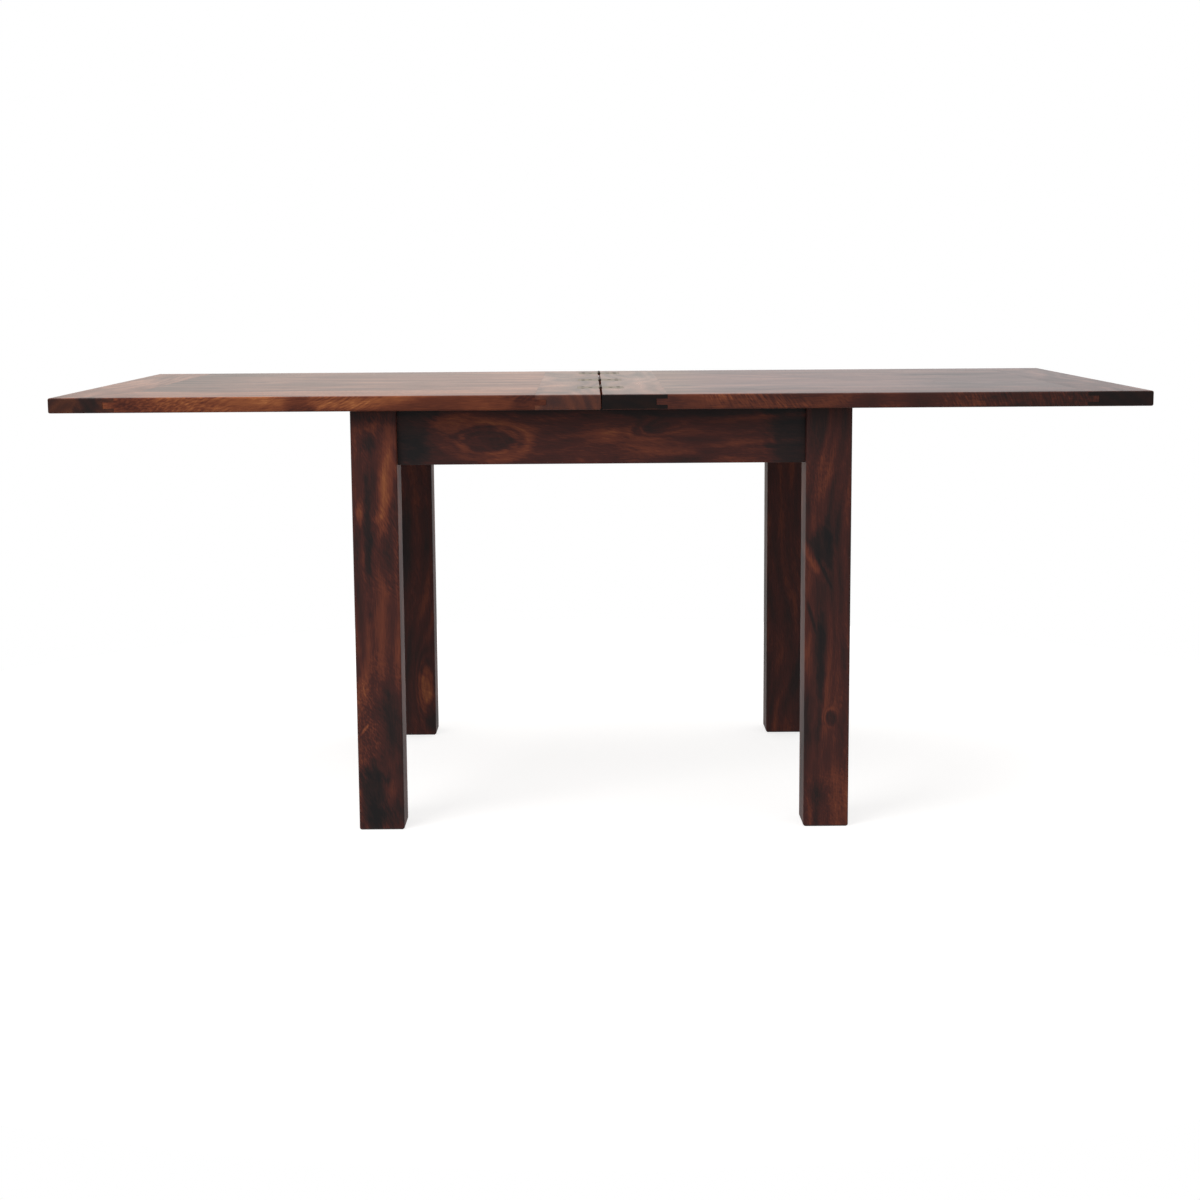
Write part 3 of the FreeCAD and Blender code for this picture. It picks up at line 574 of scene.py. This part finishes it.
def finished_copy(node: str, arris: float) -> bpy.types.Object:
    """Copy a CAD node as one welded skin with smooth rounds and eased arrises.

    Args:
        node: the CAD node.
        arris: width of the bevel on its sharp edges.

    Returns:
        The new piece, in place but riding on nothing yet.
    """
    mesh = frame["nodes"][node].data.copy()
    mesh.name = f"{node}_finished"
    skin = bmesh.new()
    skin.from_mesh(mesh)
    bmesh.ops.remove_doubles(skin, verts=skin.verts, dist=SAME_POINT)
    bmesh.ops.dissolve_limit(skin, angle_limit=ONE_FACE, verts=skin.verts, edges=skin.edges)
    for face in skin.faces:
        face.smooth = True
    for edge in skin.edges:
        edge.smooth = edge.calc_face_angle(math.pi) < SMOOTH
    skin.to_mesh(mesh)
    skin.free()
    if "custom_normal" in mesh.attributes:
        mesh.attributes.remove(mesh.attributes["custom_normal"])
    piece = bpy.data.objects.new(mesh.name, mesh)
    bpy.context.scene.collection.objects.link(piece)
    bevel = piece.modifiers.new("arris", "BEVEL")
    bevel.width = arris
    bevel.segments = ARRIS_SEGMENTS
    bevel.limit_method = "ANGLE"
    bevel.angle_limit = SHARP
    bevel.harden_normals = True
    # The mitres of the bevel leave slivers at some corners
    piece.modifiers.new("weld", "WELD").merge_threshold = WELD
    return piece


def hand_over(
    piece: bpy.types.Object, nodes: tuple[str, ...], material: bpy.types.Material
) -> None:
    """Give a piece its material and its body, and hide the CAD nodes that it stands for.

    Args:
        piece: the finished piece.
        nodes: CAD nodes of one body.
        material: what the piece is made of.
    """
    piece.data.materials.clear()
    piece.data.materials.append(material)
    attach(piece, BODY_OF[nodes[0]])
    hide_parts(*nodes)
    LOG.info("%s rides on %s", piece.name, BODY_OF[nodes[0]])


def stations(node: str) -> list[tuple[Vector, Vector]]:
    """Find where the long fasteners of a CAD node lie.

    Args:
        node: the CAD node, with one solid for each fastener.

    Returns:
        For each one the middle of its outer end and the direction out of it. The outer end is the
        wider one, or the one nearer to the middle of the table.
    """
    skin = bmesh.new()
    skin.from_mesh(frame["nodes"][node].data)
    bmesh.ops.remove_doubles(skin, verts=skin.verts, dist=SAME_POINT)
    found = []
    for first in skin.verts:
        if first.tag:
            continue
        first.tag = True
        solid = [first]
        for vert in solid:
            for near in (edge.other_vert(vert) for edge in vert.link_edges):
                if not near.tag:
                    near.tag = True
                    solid.append(near)
        points = np.array([vert.co for vert in solid])
        middle = points.mean(axis=0)
        axis = np.linalg.svd(points - middle)[2][0]
        along = (points - middle) @ axis
        radius = np.linalg.norm(points - middle - np.outer(along, axis), axis=1)
        ends = (along.min(), along.max())
        wide = [radius[np.abs(along - end) < EQUAL_WIDTH].max() for end in ends]
        if abs(wide[0] - wide[1]) > EQUAL_WIDTH:
            outer_is_low = wide[0] > wide[1]
        else:
            outer_is_low = middle[:2] @ axis[:2] >= 0
        axis, end = (-axis, -ends[0]) if outer_is_low else (axis, ends[1])
        found.append((Vector(middle + axis * end), Vector(axis)))
    skin.free()
    return found


@dataclass
class Fasteners:
    """Equal fasteners of one body, set out by Geometry Nodes where the CAD has them."""

    name: str
    nodes: tuple[str, ...]
    finish: Fitting
    sizes: dict[str, float]
    seed: int = 1
    slot: str = "zinc_steel"

    def shape(self, tree: Tree, size: dict[str, Socket]) -> Node:
        """Make one fastener with its outer end at the origin and its length down the Z axis.

        Args:
            tree: the geometry tree.
            size: the tree's inputs by name.

        Returns:
            The fastener's mesh.
        """
        raise NotImplementedError

    def shares(
        self, tree: Tree, size: dict[str, Socket], table: dict[str, tuple[str, float]]
    ) -> dict[str, Node]:
        """Work out measures that are shares of the named sizes.

        Args:
            tree: the geometry tree.
            size: the tree's inputs by name.
            table: a named size and the share of it, by the measure's name.

        Returns:
            The measures by name.
        """
        return {
            name: add(tree, MATH, {0: size[whole], 1: share}, operation="MULTIPLY")
            for name, (whole, share) in table.items()
        }

    def raised(self, tree: Tree, mesh: Node, height: Node) -> Node:
        """Move a mesh along the Z axis."""
        lift = add(tree, COMBINE, {2: height})
        return add(tree, MOVE, {"Geometry": mesh, "Translation": lift})

    def tree(self) -> Tree:
        """Make the tree that puts a fastener on each point, on the point's axis and spun by chance.

        Returns:
            The tree.
        """
        tree = bpy.data.node_groups.new(self.name, "GeometryNodeTree")
        inputs = {
            "Places": "NodeSocketGeometry",
            **dict.fromkeys(self.sizes, "NodeSocketFloat"),
            "Seed": "NodeSocketInt",
            "Finish": "NodeSocketMaterial",
        }
        for name, kind in inputs.items():
            tree.interface.new_socket(name, in_out="INPUT", socket_type=kind)
        tree.interface.new_socket("Fasteners", in_out="OUTPUT", socket_type="NodeSocketGeometry")
        given = add(tree, "NodeGroupInput").outputs
        shape = self.shape(tree, {name: given[name] for name in self.sizes})
        named = {"Name": "axis"}
        axis = add(tree, "GeometryNodeInputNamedAttribute", named, data_type="FLOAT_VECTOR")
        upright = add(tree, "FunctionNodeAlignRotationToVector", {"Vector": axis}, axis="Z")
        circle = {2: 0.0, 3: math.tau, "Seed": given["Seed"]}
        chance = add(tree, "FunctionNodeRandomValue", circle, data_type="FLOAT").outputs[1]
        spin = add(tree, "FunctionNodeAxisAngleToRotation", {"Angle": chance})
        turn = {"Rotation": upright, "Rotate By": spin}
        turned = add(tree, "FunctionNodeRotateRotation", turn, rotation_space="LOCAL")
        places = {"Points": given["Places"], "Instance": shape, "Rotation": turned}
        copies = add(tree, "GeometryNodeInstanceOnPoints", places)
        plain = add(tree, "GeometryNodeRealizeInstances", {"Geometry": copies})
        dress = {"Geometry": plain, "Material": given["Finish"]}
        add(tree, "NodeGroupOutput", {0: add(tree, "GeometryNodeSetMaterial", dress)})
        return tree

    def build(self) -> None:
        """Set out the fasteners and hand them over as one plain mesh."""
        places = stations(self.nodes[0])
        points = bpy.data.meshes.new(f"{self.name}_places")
        points.from_pydata([place for place, _ in places], [], [])
        axes = points.attributes.new("axis", "FLOAT_VECTOR", "POINT")
        axes.data.foreach_set("vector", [value for _, axis in places for value in axis])
        piece = bpy.data.objects.new(self.name, points)
        bpy.context.scene.collection.objects.link(piece)
        material = self.finish.material()
        tree = self.tree()
        given = {**self.sizes, "Seed": self.seed, "Finish": material}
        modifier = piece.modifiers.new("set_out", "NODES")
        modifier.node_group = tree
        for socket in tree.interface.items_tree:
            if socket.name in given:
                modifier[socket.identifier] = given[socket.name]
        shown = piece.evaluated_get(bpy.context.evaluated_depsgraph_get())
        mesh = bpy.data.meshes.new_from_object(shown)
        piece.modifiers.clear()
        piece.data = mesh
        hand_over(piece, self.nodes, material)


# Measures of a screw as shares of its sizes. The dome stands a little inside the rim of the head,
# with its widest ring below that rim, and the stem starts a little inside the cone of the head.
SCREW_SHARES = {
    "head": ("Head", 0.5),
    "shank": ("Shank", 0.5),
    "crown": ("Head", 0.475),
    "rise": ("Dome", 1.2),
    "sunk": ("Dome", -0.2),
    "neck": ("Shank", 0.485),
    "tip": ("Shank", 0.15),
    "end": ("Length", -1.0),
    "slot length": ("Head", 0.56),
    "slot width": ("Head", 0.15),
    "slot depth": ("Head", 0.4),
}
# Measures of a bolt with its washer and nut as shares of its sizes. The nut's corners are turned
# off by a cone at 30 degrees, which starts a little inside its flats and widens by the flare.
BOLT_SHARES = {
    "core": ("Bolt", 0.46),
    "end": ("Length", -1.0),
    "nut top": ("Tail", -1.0),
    "washer": ("Washer", 0.5),
    "nut corner": ("Nut", 0.5 / math.cos(math.pi / 6)),
    "nut face": ("Nut", 0.475),
    "tooth": ("Pitch", 0.45),
}
FLARE = math.sqrt(3)
# Sides of round forms
HEAD_SIDES, DOME_RINGS, STEM_SIDES = 24, 12, 12
BOLT_SIDES, WASHER_SIDES, NUT_SIDES, TURNED_SIDES = 24, 32, 6, 48
THREAD_SIDES, TOOTH_SIDES = 20, 3


@dataclass
class CrossHeadScrews(Fasteners):
    """Raised countersunk screws with a cross recess."""

    def shape(self, tree: Tree, size: dict[str, Socket]) -> Node:
        """Make one screw with the rim of its head at the origin and its length down the Z axis.

        Args:
            tree: the geometry tree.
            size: the tree's inputs by name.

        Returns:
            The screw's mesh.
        """
        part = self.shares(tree, size, SCREW_SHARES)
        depth = add(tree, MATH, {0: part["head"], 1: part["shank"]}, operation="SUBTRACT")
        down = add(tree, MATH, {0: part["shank"], 1: part["head"]}, operation="SUBTRACT")
        rest = add(tree, MATH, {0: size["Length"], 1: depth}, operation="SUBTRACT")
        flat = add(tree, MATH, {0: part["rise"], 1: part["crown"]}, operation="DIVIDE")
        sphere = {"Segments": HEAD_SIDES, "Rings": DOME_RINGS, "Radius": part["crown"]}
        ball = add(tree, "GeometryNodeMeshUVSphere", sphere)
        squash = add(tree, COMBINE, {0: 1.0, 1: 1.0, 2: flat})
        pressed = add(tree, MOVE, {"Geometry": ball, "Scale": squash})
        dome = self.raised(tree, pressed, part["sunk"])
        cones = []
        for sides, top, bottom, height, foot in (
            (HEAD_SIDES, part["head"], part["shank"], depth, down),
            (STEM_SIDES, part["neck"], part["tip"], rest, part["end"]),
        ):
            cone = {"Vertices": sides, "Radius Top": top, "Radius Bottom": bottom, "Depth": height}
            cones.append(self.raised(tree, add(tree, CONE, cone), foot))
        seat, stem = cones
        long, narrow = part["slot length"], part["slot width"]
        bars = []
        for length, width in ((long, narrow), (narrow, long)):
            bar = add(tree, COMBINE, {0: length, 1: width, 2: part["slot depth"]})
            bars.append(add(tree, "GeometryNodeMeshCube", {"Size": bar}))
        heads = {"Mesh 2": [dome, seat]}
        whole = add(tree, BOOLEAN, heads, operation="UNION", solver="EXACT")
        cut = {"Mesh 1": whole, "Mesh 2": bars}
        crossed = add(tree, BOOLEAN, cut, operation="DIFFERENCE", solver="EXACT")
        clean = add(tree, MERGE, {"Geometry": crossed, "Distance": WELD})
        return add(tree, "GeometryNodeJoinGeometry", {0: [clean, stem]})


@dataclass
class NuttedBolts(Fasteners):
    """Threaded bolts, each with a washer and a nut near its end."""

    def shape(self, tree: Tree, size: dict[str, Socket]) -> Node:
        """Make one bolt with its end at the origin and its length down the Z axis.

        Args:
            tree: the geometry tree.
            size: the tree's inputs by name.

        Returns:
            The mesh of bolt, washer and nut.
        """
        part = self.shares(tree, size, BOLT_SHARES)
        tall = size["Nut Height"]
        nut_foot = add(tree, MATH, {0: part["nut top"], 1: tall}, operation="SUBTRACT")
        lower = {0: nut_foot, 1: size["Washer Height"]}
        washer_foot = add(tree, MATH, lower, operation="SUBTRACT")
        flare = {0: tall, 1: FLARE, 2: part["nut face"]}
        skirt = add(tree, MATH, flare, operation="MULTIPLY_ADD")
        core, rim, corner = part["core"], part["washer"], part["nut corner"]
        solids = []
        for sides, top, bottom, height, foot in (
            (BOLT_SIDES, core, core, size["Length"], part["end"]),
            (WASHER_SIDES, rim, rim, size["Washer Height"], washer_foot),
            (NUT_SIDES, corner, corner, tall, nut_foot),
            (TURNED_SIDES, part["nut face"], skirt, tall, nut_foot),
        ):
            cone = {"Vertices": sides, "Radius Top": top, "Radius Bottom": bottom, "Depth": height}
            solids.append(self.raised(tree, add(tree, CONE, cone), foot))
        bolt, washer, hexagon, turning = solids
        both = {"Mesh 2": [hexagon, turning]}
        turned = add(tree, BOOLEAN, both, operation="INTERSECT", solver="EXACT")
        nut = add(tree, MERGE, {"Geometry": turned, "Distance": WELD})
        rounds = add(tree, MATH, {0: size["Tail"], 1: size["Pitch"]}, operation="DIVIDE")
        helix = {
            "Resolution": THREAD_SIDES,
            "Rotations": rounds,
            "Start Radius": core,
            "End Radius": core,
            "Height": size["Tail"],
        }
        tooth = {"Resolution": TOOTH_SIDES, "Radius": part["tooth"]}
        sweep = {
            "Curve": add(tree, "GeometryNodeCurveSpiral", helix),
            "Profile Curve": add(tree, "GeometryNodeCurvePrimitiveCircle", tooth),
            "Fill Caps": True,
        }
        thread = self.raised(tree, add(tree, "GeometryNodeCurveToMesh", sweep), part["nut top"])
        return add(tree, "GeometryNodeJoinGeometry", {0: [bolt, washer, nut, thread]})


@dataclass
class Leaf:
    """One leaf: five long boards tongued into a board at the seam and one at the outer end."""

    name: str
    boards: tuple[Cutting, ...]
    seam: Cutting
    end: Cutting
    arris: float = 0.2 * MM

    def build(self) -> None:
        """Build and dress the boards."""
        for number, cutting in enumerate(self.boards, start=1):
            self.board(f"{self.name}_leaf_board_{number}", cutting)
        self.board(f"{self.name}_seam_board", self.seam)
        self.board(f"{self.name}_end_board", self.end)

    def board(self, node: str, cutting: Cutting) -> None:
        """Build and dress one board."""
        material = TOP_WOOD.material(node, cutting)
        hand_over(finished_copy(node, self.arris), (node,), material)


# On the inner long boards, the patches 300 mm wide make each leaf darker toward its outer end, and
# the left leaf lighter toward the seam.
LEFT_LEAF = Leaf(
    "left",
    (
        Cutting(Lay.BOARD, 101, 0.23, (-70.0, 50.0), (10.0, 24.0), flame=1.6, dull=0.065, patches=(
            Patch(352, -90, 130, 260, 0.2), Patch(-332, -90, 60, 260, 0.1),
            Patch(-130, -90, 150, 40, -0.12), Patch(-40, -90, 60, 50, 0.14, slant=30))),
        Cutting(Lay.BOARD, 102, 0.11, (-30.0, 60.0), dull=0.055, patches=(
            Patch(19, -82, 470, 10, 0.4), Patch(350, 0, 300, 300, -0.08),
            Patch(-350, 0, 380, 300, 0.1))),
        Cutting(Lay.BOARD, 103, 0.11, (10.0, 55.0), dull=0.05, patches=(
            Patch(340, 0, 280, 300, -0.08), Patch(-330, 0, 340, 300, 0.1))),
        Cutting(Lay.BOARD, 104, 0.13, (45.0, 60.0), dull=0.05, patches=(
            Patch(360, 0, 320, 300, -0.07), Patch(-350, 0, 360, 300, 0.11))),
        Cutting(Lay.BOARD, 105, 0.11, (70.0, 50.0), dull=0.05, patches=(
            Patch(345, 0, 290, 300, -0.08), Patch(-330, 0, 340, 300, 0.1))),
    ),
    Cutting(
        Lay.CROSS_BOARD, 112, 0.1, (15.0, 60.0), flame=0.3, soak=0.65, dull=0.03,
        gloss=(2.3, 0.0)),
    Cutting(
        Lay.CROSS_BOARD, 114, 0.2, (25.0, 50.0), flame=0.4, soak=0.36, dull=0.065,
        gloss=(1.6, 1.0), patches=(Patch(-450, 12, 60, 46, 0.3),)),
)
RIGHT_LEAF = Leaf(
    "right",
    (
        Cutting(
            Lay.BOARD, 131, 0.02, (-70.0, 50.0), (8.0, -58.0), flame=1.8, dull=0.03,
            gloss=(1.4, 1.4), patches=(
                Patch(300, -90, 260, 140, 0.17), Patch(-300, -90, 130, 120, -0.12))),
        Cutting(Lay.BOARD, 132, 0.08, (-30.0, 60.0), dull=0.025, patches=(
            Patch(280, 0, 400, 300, 0.14),)),
        Cutting(Lay.BOARD, 133, 0.08, (10.0, 55.0), dull=0.03, patches=(
            Patch(240, 0, 380, 300, 0.12),)),
        Cutting(Lay.BOARD, 134, 0.08, (45.0, 60.0), dull=0.03, patches=(
            Patch(230, 10, 200, 16, 0.4), Patch(320, 0, 460, 300, 0.14))),
        Cutting(Lay.BOARD, 135, 0.06, (70.0, 50.0), dull=0.03, patches=(
            Patch(290, -30, 120, 14, 0.4),)),
    ),
    Cutting(
        Lay.CROSS_BOARD, 142, 0.08, (15.0, 60.0), flame=0.3, soak=0.05, dull=0.02,
        gloss=(1.1, 0.0)),
    Cutting(
        Lay.CROSS_BOARD, 144, 0.0, (25.0, 50.0), flame=0.4, soak=0.12, dull=0.04,
        gloss=(1.4, 1.0)),
)


@dataclass
class UnderFrame:
    """Four legs, four aprons, corner blocks with their bolts and screws, and the rail inside."""

    legs: dict[str, Cutting]
    aprons: dict[str, Cutting]
    blocks: dict[str, Cutting]
    rail: Cutting
    bolt: dict[str, float]
    screw: dict[str, float]
    bolt_seed: int = 4
    screw_seed: int = 7
    arris: float = 0.5 * MM

    def build(self) -> None:
        """Build and dress the wooden pieces, the felt and the fasteners."""
        for corner, cutting in self.legs.items():
            self.wood(f"leg_{corner}", FRAME_WOOD, cutting)
        for side, cutting in self.aprons.items():
            self.wood(f"apron_{side}", FRAME_WOOD, cutting)
        for corner, cutting in self.blocks.items():
            self.wood(f"corner_block_{corner}", SAWN, cutting)
        self.wood("pivot_rail", SAWN, self.rail)
        felt = finished_copy("felt_pads", self.arris)
        hand_over(felt, ("felt_pads",), FELT.material())
        bolts, screws = ("hanger_bolts", "bolt_washers", "bolt_nuts"), ("block_screws",)
        NuttedBolts("corner_bolts", bolts, ZINC, self.bolt, self.bolt_seed).build()
        CrossHeadScrews("corner_screws", screws, ZINC, self.screw, self.screw_seed).build()

    def wood(self, node: str, finish: StainedWood, cutting: Cutting) -> None:
        """Build and dress one wooden piece."""
        material = finish.material(node, cutting)
        hand_over(finished_copy(node, self.arris), (node,), material)


UNDER_FRAME = UnderFrame(
    legs={
        # The patch at the top of the front left leg (along 350) is painted shadow under the leaf.
        "front_left": Cutting(Lay.LEG, 3, 0.03, curl=(26.0, 12.0), flame=0.9, patches=(
            Patch(350, 0, 36, 160, 0.25), Patch(302, -10, 40, 34, 0.25),
            Patch(150, -13, 300, 14, 0.26), Patch(240, 20, 170, 36, -0.2, slant=-12),
            Patch(187, -26, 46, 14, -0.28), Patch(100, 14, 110, 60, 0.1),
            Patch(-190, 4, 170, 90, 0.2), Patch(-300, -14, 140, 60, 0.36),
            Patch(-330, 12, 70, 70, 0.2), Patch(-180, -25, 30, 6, -0.3, slant=-38))),
        "front_right": Cutting(Lay.LEG, 11, -0.04, curl=(24.0, 10.0), flame=0.5, patches=(
            Patch(126, -10, 90, 50, 0.36), Patch(98, -24, 76, 20, -0.3, slant=26),
            Patch(80, -6, 70, 8, 0.26, slant=26), Patch(6, -27, 70, 8, 0.28, slant=15),
            Patch(-80, -11, 220, 16, 0.28), Patch(-91, -29, 170, 18, -0.1),
            Patch(-166, 6, 30, 20, 0.28, turns=1.5), Patch(-295, -13, 40, 50, 0.14))),
        "back_left": Cutting(Lay.LEG, 21, -0.06, flame=0.4, patches=(
            Patch(-252, 20, 125, 34, -0.25, turns=2.0), Patch(-320, 30, 80, 34, 0.25))),
        "back_right": Cutting(Lay.LEG, 33, -0.1, flame=0.3),
    },
    aprons={
        # Front apron: its tone of -0.03 and the long patch along its top (across 45) are painted
        # shade under the overhanging leaves; the wide patches near both ends darken it next to the
        # legs.
        "front": Cutting(Lay.LONG_APRON, 5, -0.03, flame=0.4, patches=(
            Patch(-183, -5, 110, 48, 0.2, glow=0.14, turns=3.0),
            Patch(92, 15, 90, 26, 0.16, turns=1.5, slant=-12), Patch(150, -22, 200, 24, -0.08),
            Patch(312, 4, 90, 240, 0.36), Patch(-316, 20, 90, 150, 0.4),
            Patch(0, 45, 1400, 26, 0.24))),
        "back": Cutting(Lay.LONG_APRON, 14),
        "left": Cutting(Lay.SIDE_APRON, 23),
        "right": Cutting(Lay.SIDE_APRON, 31),
    },
    blocks={
        corner: Cutting(Lay.BOARD, seed, soak=0.6) for seed, corner in enumerate(CORNERS, start=40)
    },
    rail=Cutting(Lay.CROSS_BOARD, 50, soak=0.6),
    bolt={
        "Bolt": 8 * MM,
        "Length": 80.5 * MM,
        "Tail": 4 * MM,
        "Nut": 13 * MM,
        "Nut Height": 6.5 * MM,
        "Washer": 20 * MM,
        "Washer Height": 2 * MM,
        "Pitch": 1.25 * MM,
    },
    screw={"Head": 8.4 * MM, "Shank": 4 * MM, "Length": 26 * MM, "Dome": 0.4 * MM},
)


@dataclass
class Hinges:
    """Three butt hinges let in flush across the seam: two plates and a pin each, and screws."""

    places: tuple[str, ...] = ("front", "middle", "back")
    sides: tuple[str, ...] = ("left", "right")
    arris: float = 0.2 * MM
    first_seed: int = 11
    screw: dict[str, float] = field(
        default_factory=lambda: {
            "Head": 8.2 * MM, "Shank": 4 * MM, "Length": 20 * MM, "Dome": 0.42 * MM
        }
    )

    def build(self) -> None:
        """Build and dress plates, pins and screws."""
        plates = [f"{place}_hinge_{side}_plate" for place in self.places for side in self.sides]
        for node in (*plates, "hinge_pins"):
            hand_over(finished_copy(node, self.arris), (node,), BRASS.material())
        for seed, side in enumerate(self.sides, start=self.first_seed):
            name, nodes = f"{side}_plate_screws", (f"{side}_hinge_screws",)
            CrossHeadScrews(name, nodes, BROWNED, self.screw, seed, "hinge_brass").build()


@dataclass
class Pivot:
    """The swivel under the left leaf: plate with stud, stop pin, bush, washer, nut and screws."""

    arris: float = 0.3 * MM
    seed: int = 21
    screw: dict[str, float] = field(
        default_factory=lambda: {
            "Head": 9.6 * MM, "Shank": 4.5 * MM, "Length": 16 * MM, "Dome": 0.4 * MM
        }
    )

    def build(self) -> None:
        """Build and dress the swivel."""
        for node in ("pivot_plate", "stop_pin", "pivot_washer", "pivot_nut"):
            hand_over(finished_copy(node, self.arris), (node,), ZINC.material())
        bush = finished_copy("pivot_bush", self.arris)
        hand_over(bush, ("pivot_bush",), NYLON.material())
        nodes = ("pivot_plate_screws",)
        CrossHeadScrews("swivel_plate_screws", nodes, ZINC, self.screw, self.seed).build()


@dataclass(frozen=True)
class Lamp:
    """One soft box: its place, the side of its square, its power in watts and its tint."""

    name: str
    place: tuple[float, float, float]
    size: float
    power: float
    tint: str = WHITE


@dataclass
class Studio:
    """Pale floor, soft light and the camera of the photograph."""

    eye: Vector = field(default_factory=lambda: Vector((-20.2, -3882.5, 918.2)) * MM)
    yaw: float = math.radians(0.264)
    pitch: float = math.radians(8.637)
    roll: float = math.radians(0.384)
    focal: float = 2103.3 / 1200
    sensor: float = 36.0
    floor_radius: float = 1.8
    floor_sides: int = 128
    floor_tone: str = "b4b2b0"
    floor_white: float = 0.74
    room_light: tuple[tuple[float, str], ...] = ((0.0, "5c5a58"), (0.03, "d3d3d4"), (1.0, "dcdcdc"))
    lamps: tuple[Lamp, ...] = (
        Lamp("key", (-2.2, -2.6, 3.0), 2.0, 70.0),
        Lamp("overhead", (0.3, 0.2, 3.2), 2.6, 40.0),
        Lamp("warm_card", (-1.2, 3.2, 1.5), 3.4, 4.6, "fff0a0"),
    )
    aim: tuple[float, float, float] = (0.0, 0.0, 0.5)

    def build(self) -> None:
        """Build floor, world, lamps and camera."""
        self.floor()
        self.world()
        for lamp in self.lamps:
            self.hang(lamp)
        self.camera()
        bpy.context.scene.view_settings.view_transform = "Standard"

    def shown(self, tree: Tree) -> Node:
        """Pick out the rays that show the background: of the camera, of gloss and through glass.

        Args:
            tree: the tree of the floor or the world.

        Returns:
            1 for those rays and 0 for the others.
        """
        rays = add(tree, "ShaderNodeLightPath").outputs
        seen = {0: rays["Is Camera Ray"], 1: rays["Is Glossy Ray"]}
        all_seen = {0: add(tree, MATH, seen, operation="MAXIMUM"), 1: rays["Is Transmission Ray"]}
        return add(tree, MATH, all_seen, operation="MAXIMUM")

    def floor(self) -> None:
        """Lay a round pale floor: nearly white from above, with the shadow, clear from below."""
        disc = bmesh.new()
        bmesh.ops.create_circle(
            disc, cap_ends=True, segments=self.floor_sides, radius=self.floor_radius
        )
        mesh = bpy.data.meshes.new("floor")
        disc.to_mesh(mesh)
        disc.free()
        floor = bpy.data.objects.new("floor", mesh)
        bpy.context.scene.collection.objects.link(floor)
        material, tree = new_material("pale_floor")
        matt = add(tree, "ShaderNodeBsdfDiffuse", {"Color": linear(self.floor_tone)})
        level = add(tree, MATH, {0: self.shown(tree), 1: self.floor_white}, operation="MULTIPLY")
        white = add(tree, "ShaderNodeEmission", {"Color": linear(WHITE), "Strength": level})
        both = add(tree, "ShaderNodeAddShader", {0: matt, 1: white})
        below = add(tree, "ShaderNodeNewGeometry").outputs["Backfacing"]
        clear = add(tree, "ShaderNodeBsdfTransparent")
        sided = add(tree, "ShaderNodeMixShader", {0: below, 1: both, 2: clear})
        add(tree, "ShaderNodeOutputMaterial", {0: sided})
        mesh.materials.append(material)

    def world(self) -> None:
        """Surround the table with soft light: bright above, dim below, and white to look at."""
        world = bpy.data.worlds.new("soft_room")
        bpy.context.scene.world = world
        world.use_nodes = True
        tree = world.node_tree
        tree.nodes.clear()
        place = add(tree, "ShaderNodeTexCoord").outputs["Generated"]
        height = add(tree, SPLIT, {0: place}).outputs["Z"]
        level = add(tree, "ShaderNodeValToRGB", {0: height}, stops=self.room_light)
        tones = {0: self.shown(tree), 6: level, 7: linear(WHITE)}
        mix = add(tree, MIX, tones, data_type="RGBA").outputs[2]
        back = add(tree, "ShaderNodeBackground", {"Color": mix, "Strength": 1.0})
        add(tree, "ShaderNodeOutputWorld", {0: back})

    def hang(self, lamp: Lamp) -> None:
        """Hang one soft box aimed at the table.

        Args:
            lamp: the soft box.
        """
        light = bpy.data.lights.new(lamp.name, "AREA")
        light.size = lamp.size
        light.energy = lamp.power
        light.color = linear(lamp.tint)[:3]
        box = bpy.data.objects.new(lamp.name, light)
        bpy.context.scene.collection.objects.link(box)
        turn = (Vector(self.aim) - Vector(lamp.place)).to_track_quat("-Z", "Y")
        box.matrix_world = Matrix.Translation(lamp.place) @ turn.to_matrix().to_4x4()
        box.visible_camera = False

    def camera(self) -> None:
        """Stand the camera where the photograph was taken."""
        sway, nod = math.sin(self.yaw), math.sin(self.pitch)
        near = math.cos(self.pitch)
        ahead = Vector((sway * near, math.cos(self.yaw) * near, -nod))
        right = Vector((math.cos(self.yaw), -sway, 0.0))
        down = ahead.cross(right)
        level_right = right * math.cos(self.roll) + down * math.sin(self.roll)
        level_down = down * math.cos(self.roll) - right * math.sin(self.roll)
        data = bpy.data.cameras.new("camera")
        data.sensor_width = self.sensor
        data.lens = self.focal * self.sensor
        camera = bpy.data.objects.new("camera", data)
        bpy.context.scene.collection.objects.link(camera)
        turn = Matrix((level_right, -level_down, -ahead)).transposed().to_4x4()
        camera.matrix_world = Matrix.Translation(self.eye) @ turn
        bpy.context.scene.camera = camera


def main() -> None:
    """Build the table and its studio."""
    logging.basicConfig(level=logging.INFO, format="%(name)s: %(message)s")
    for assembly in (LEFT_LEAF, RIGHT_LEAF, UNDER_FRAME, Hinges(), Pivot(), Studio()):
        assembly.build()


if __name__ == "__main__":
    main()
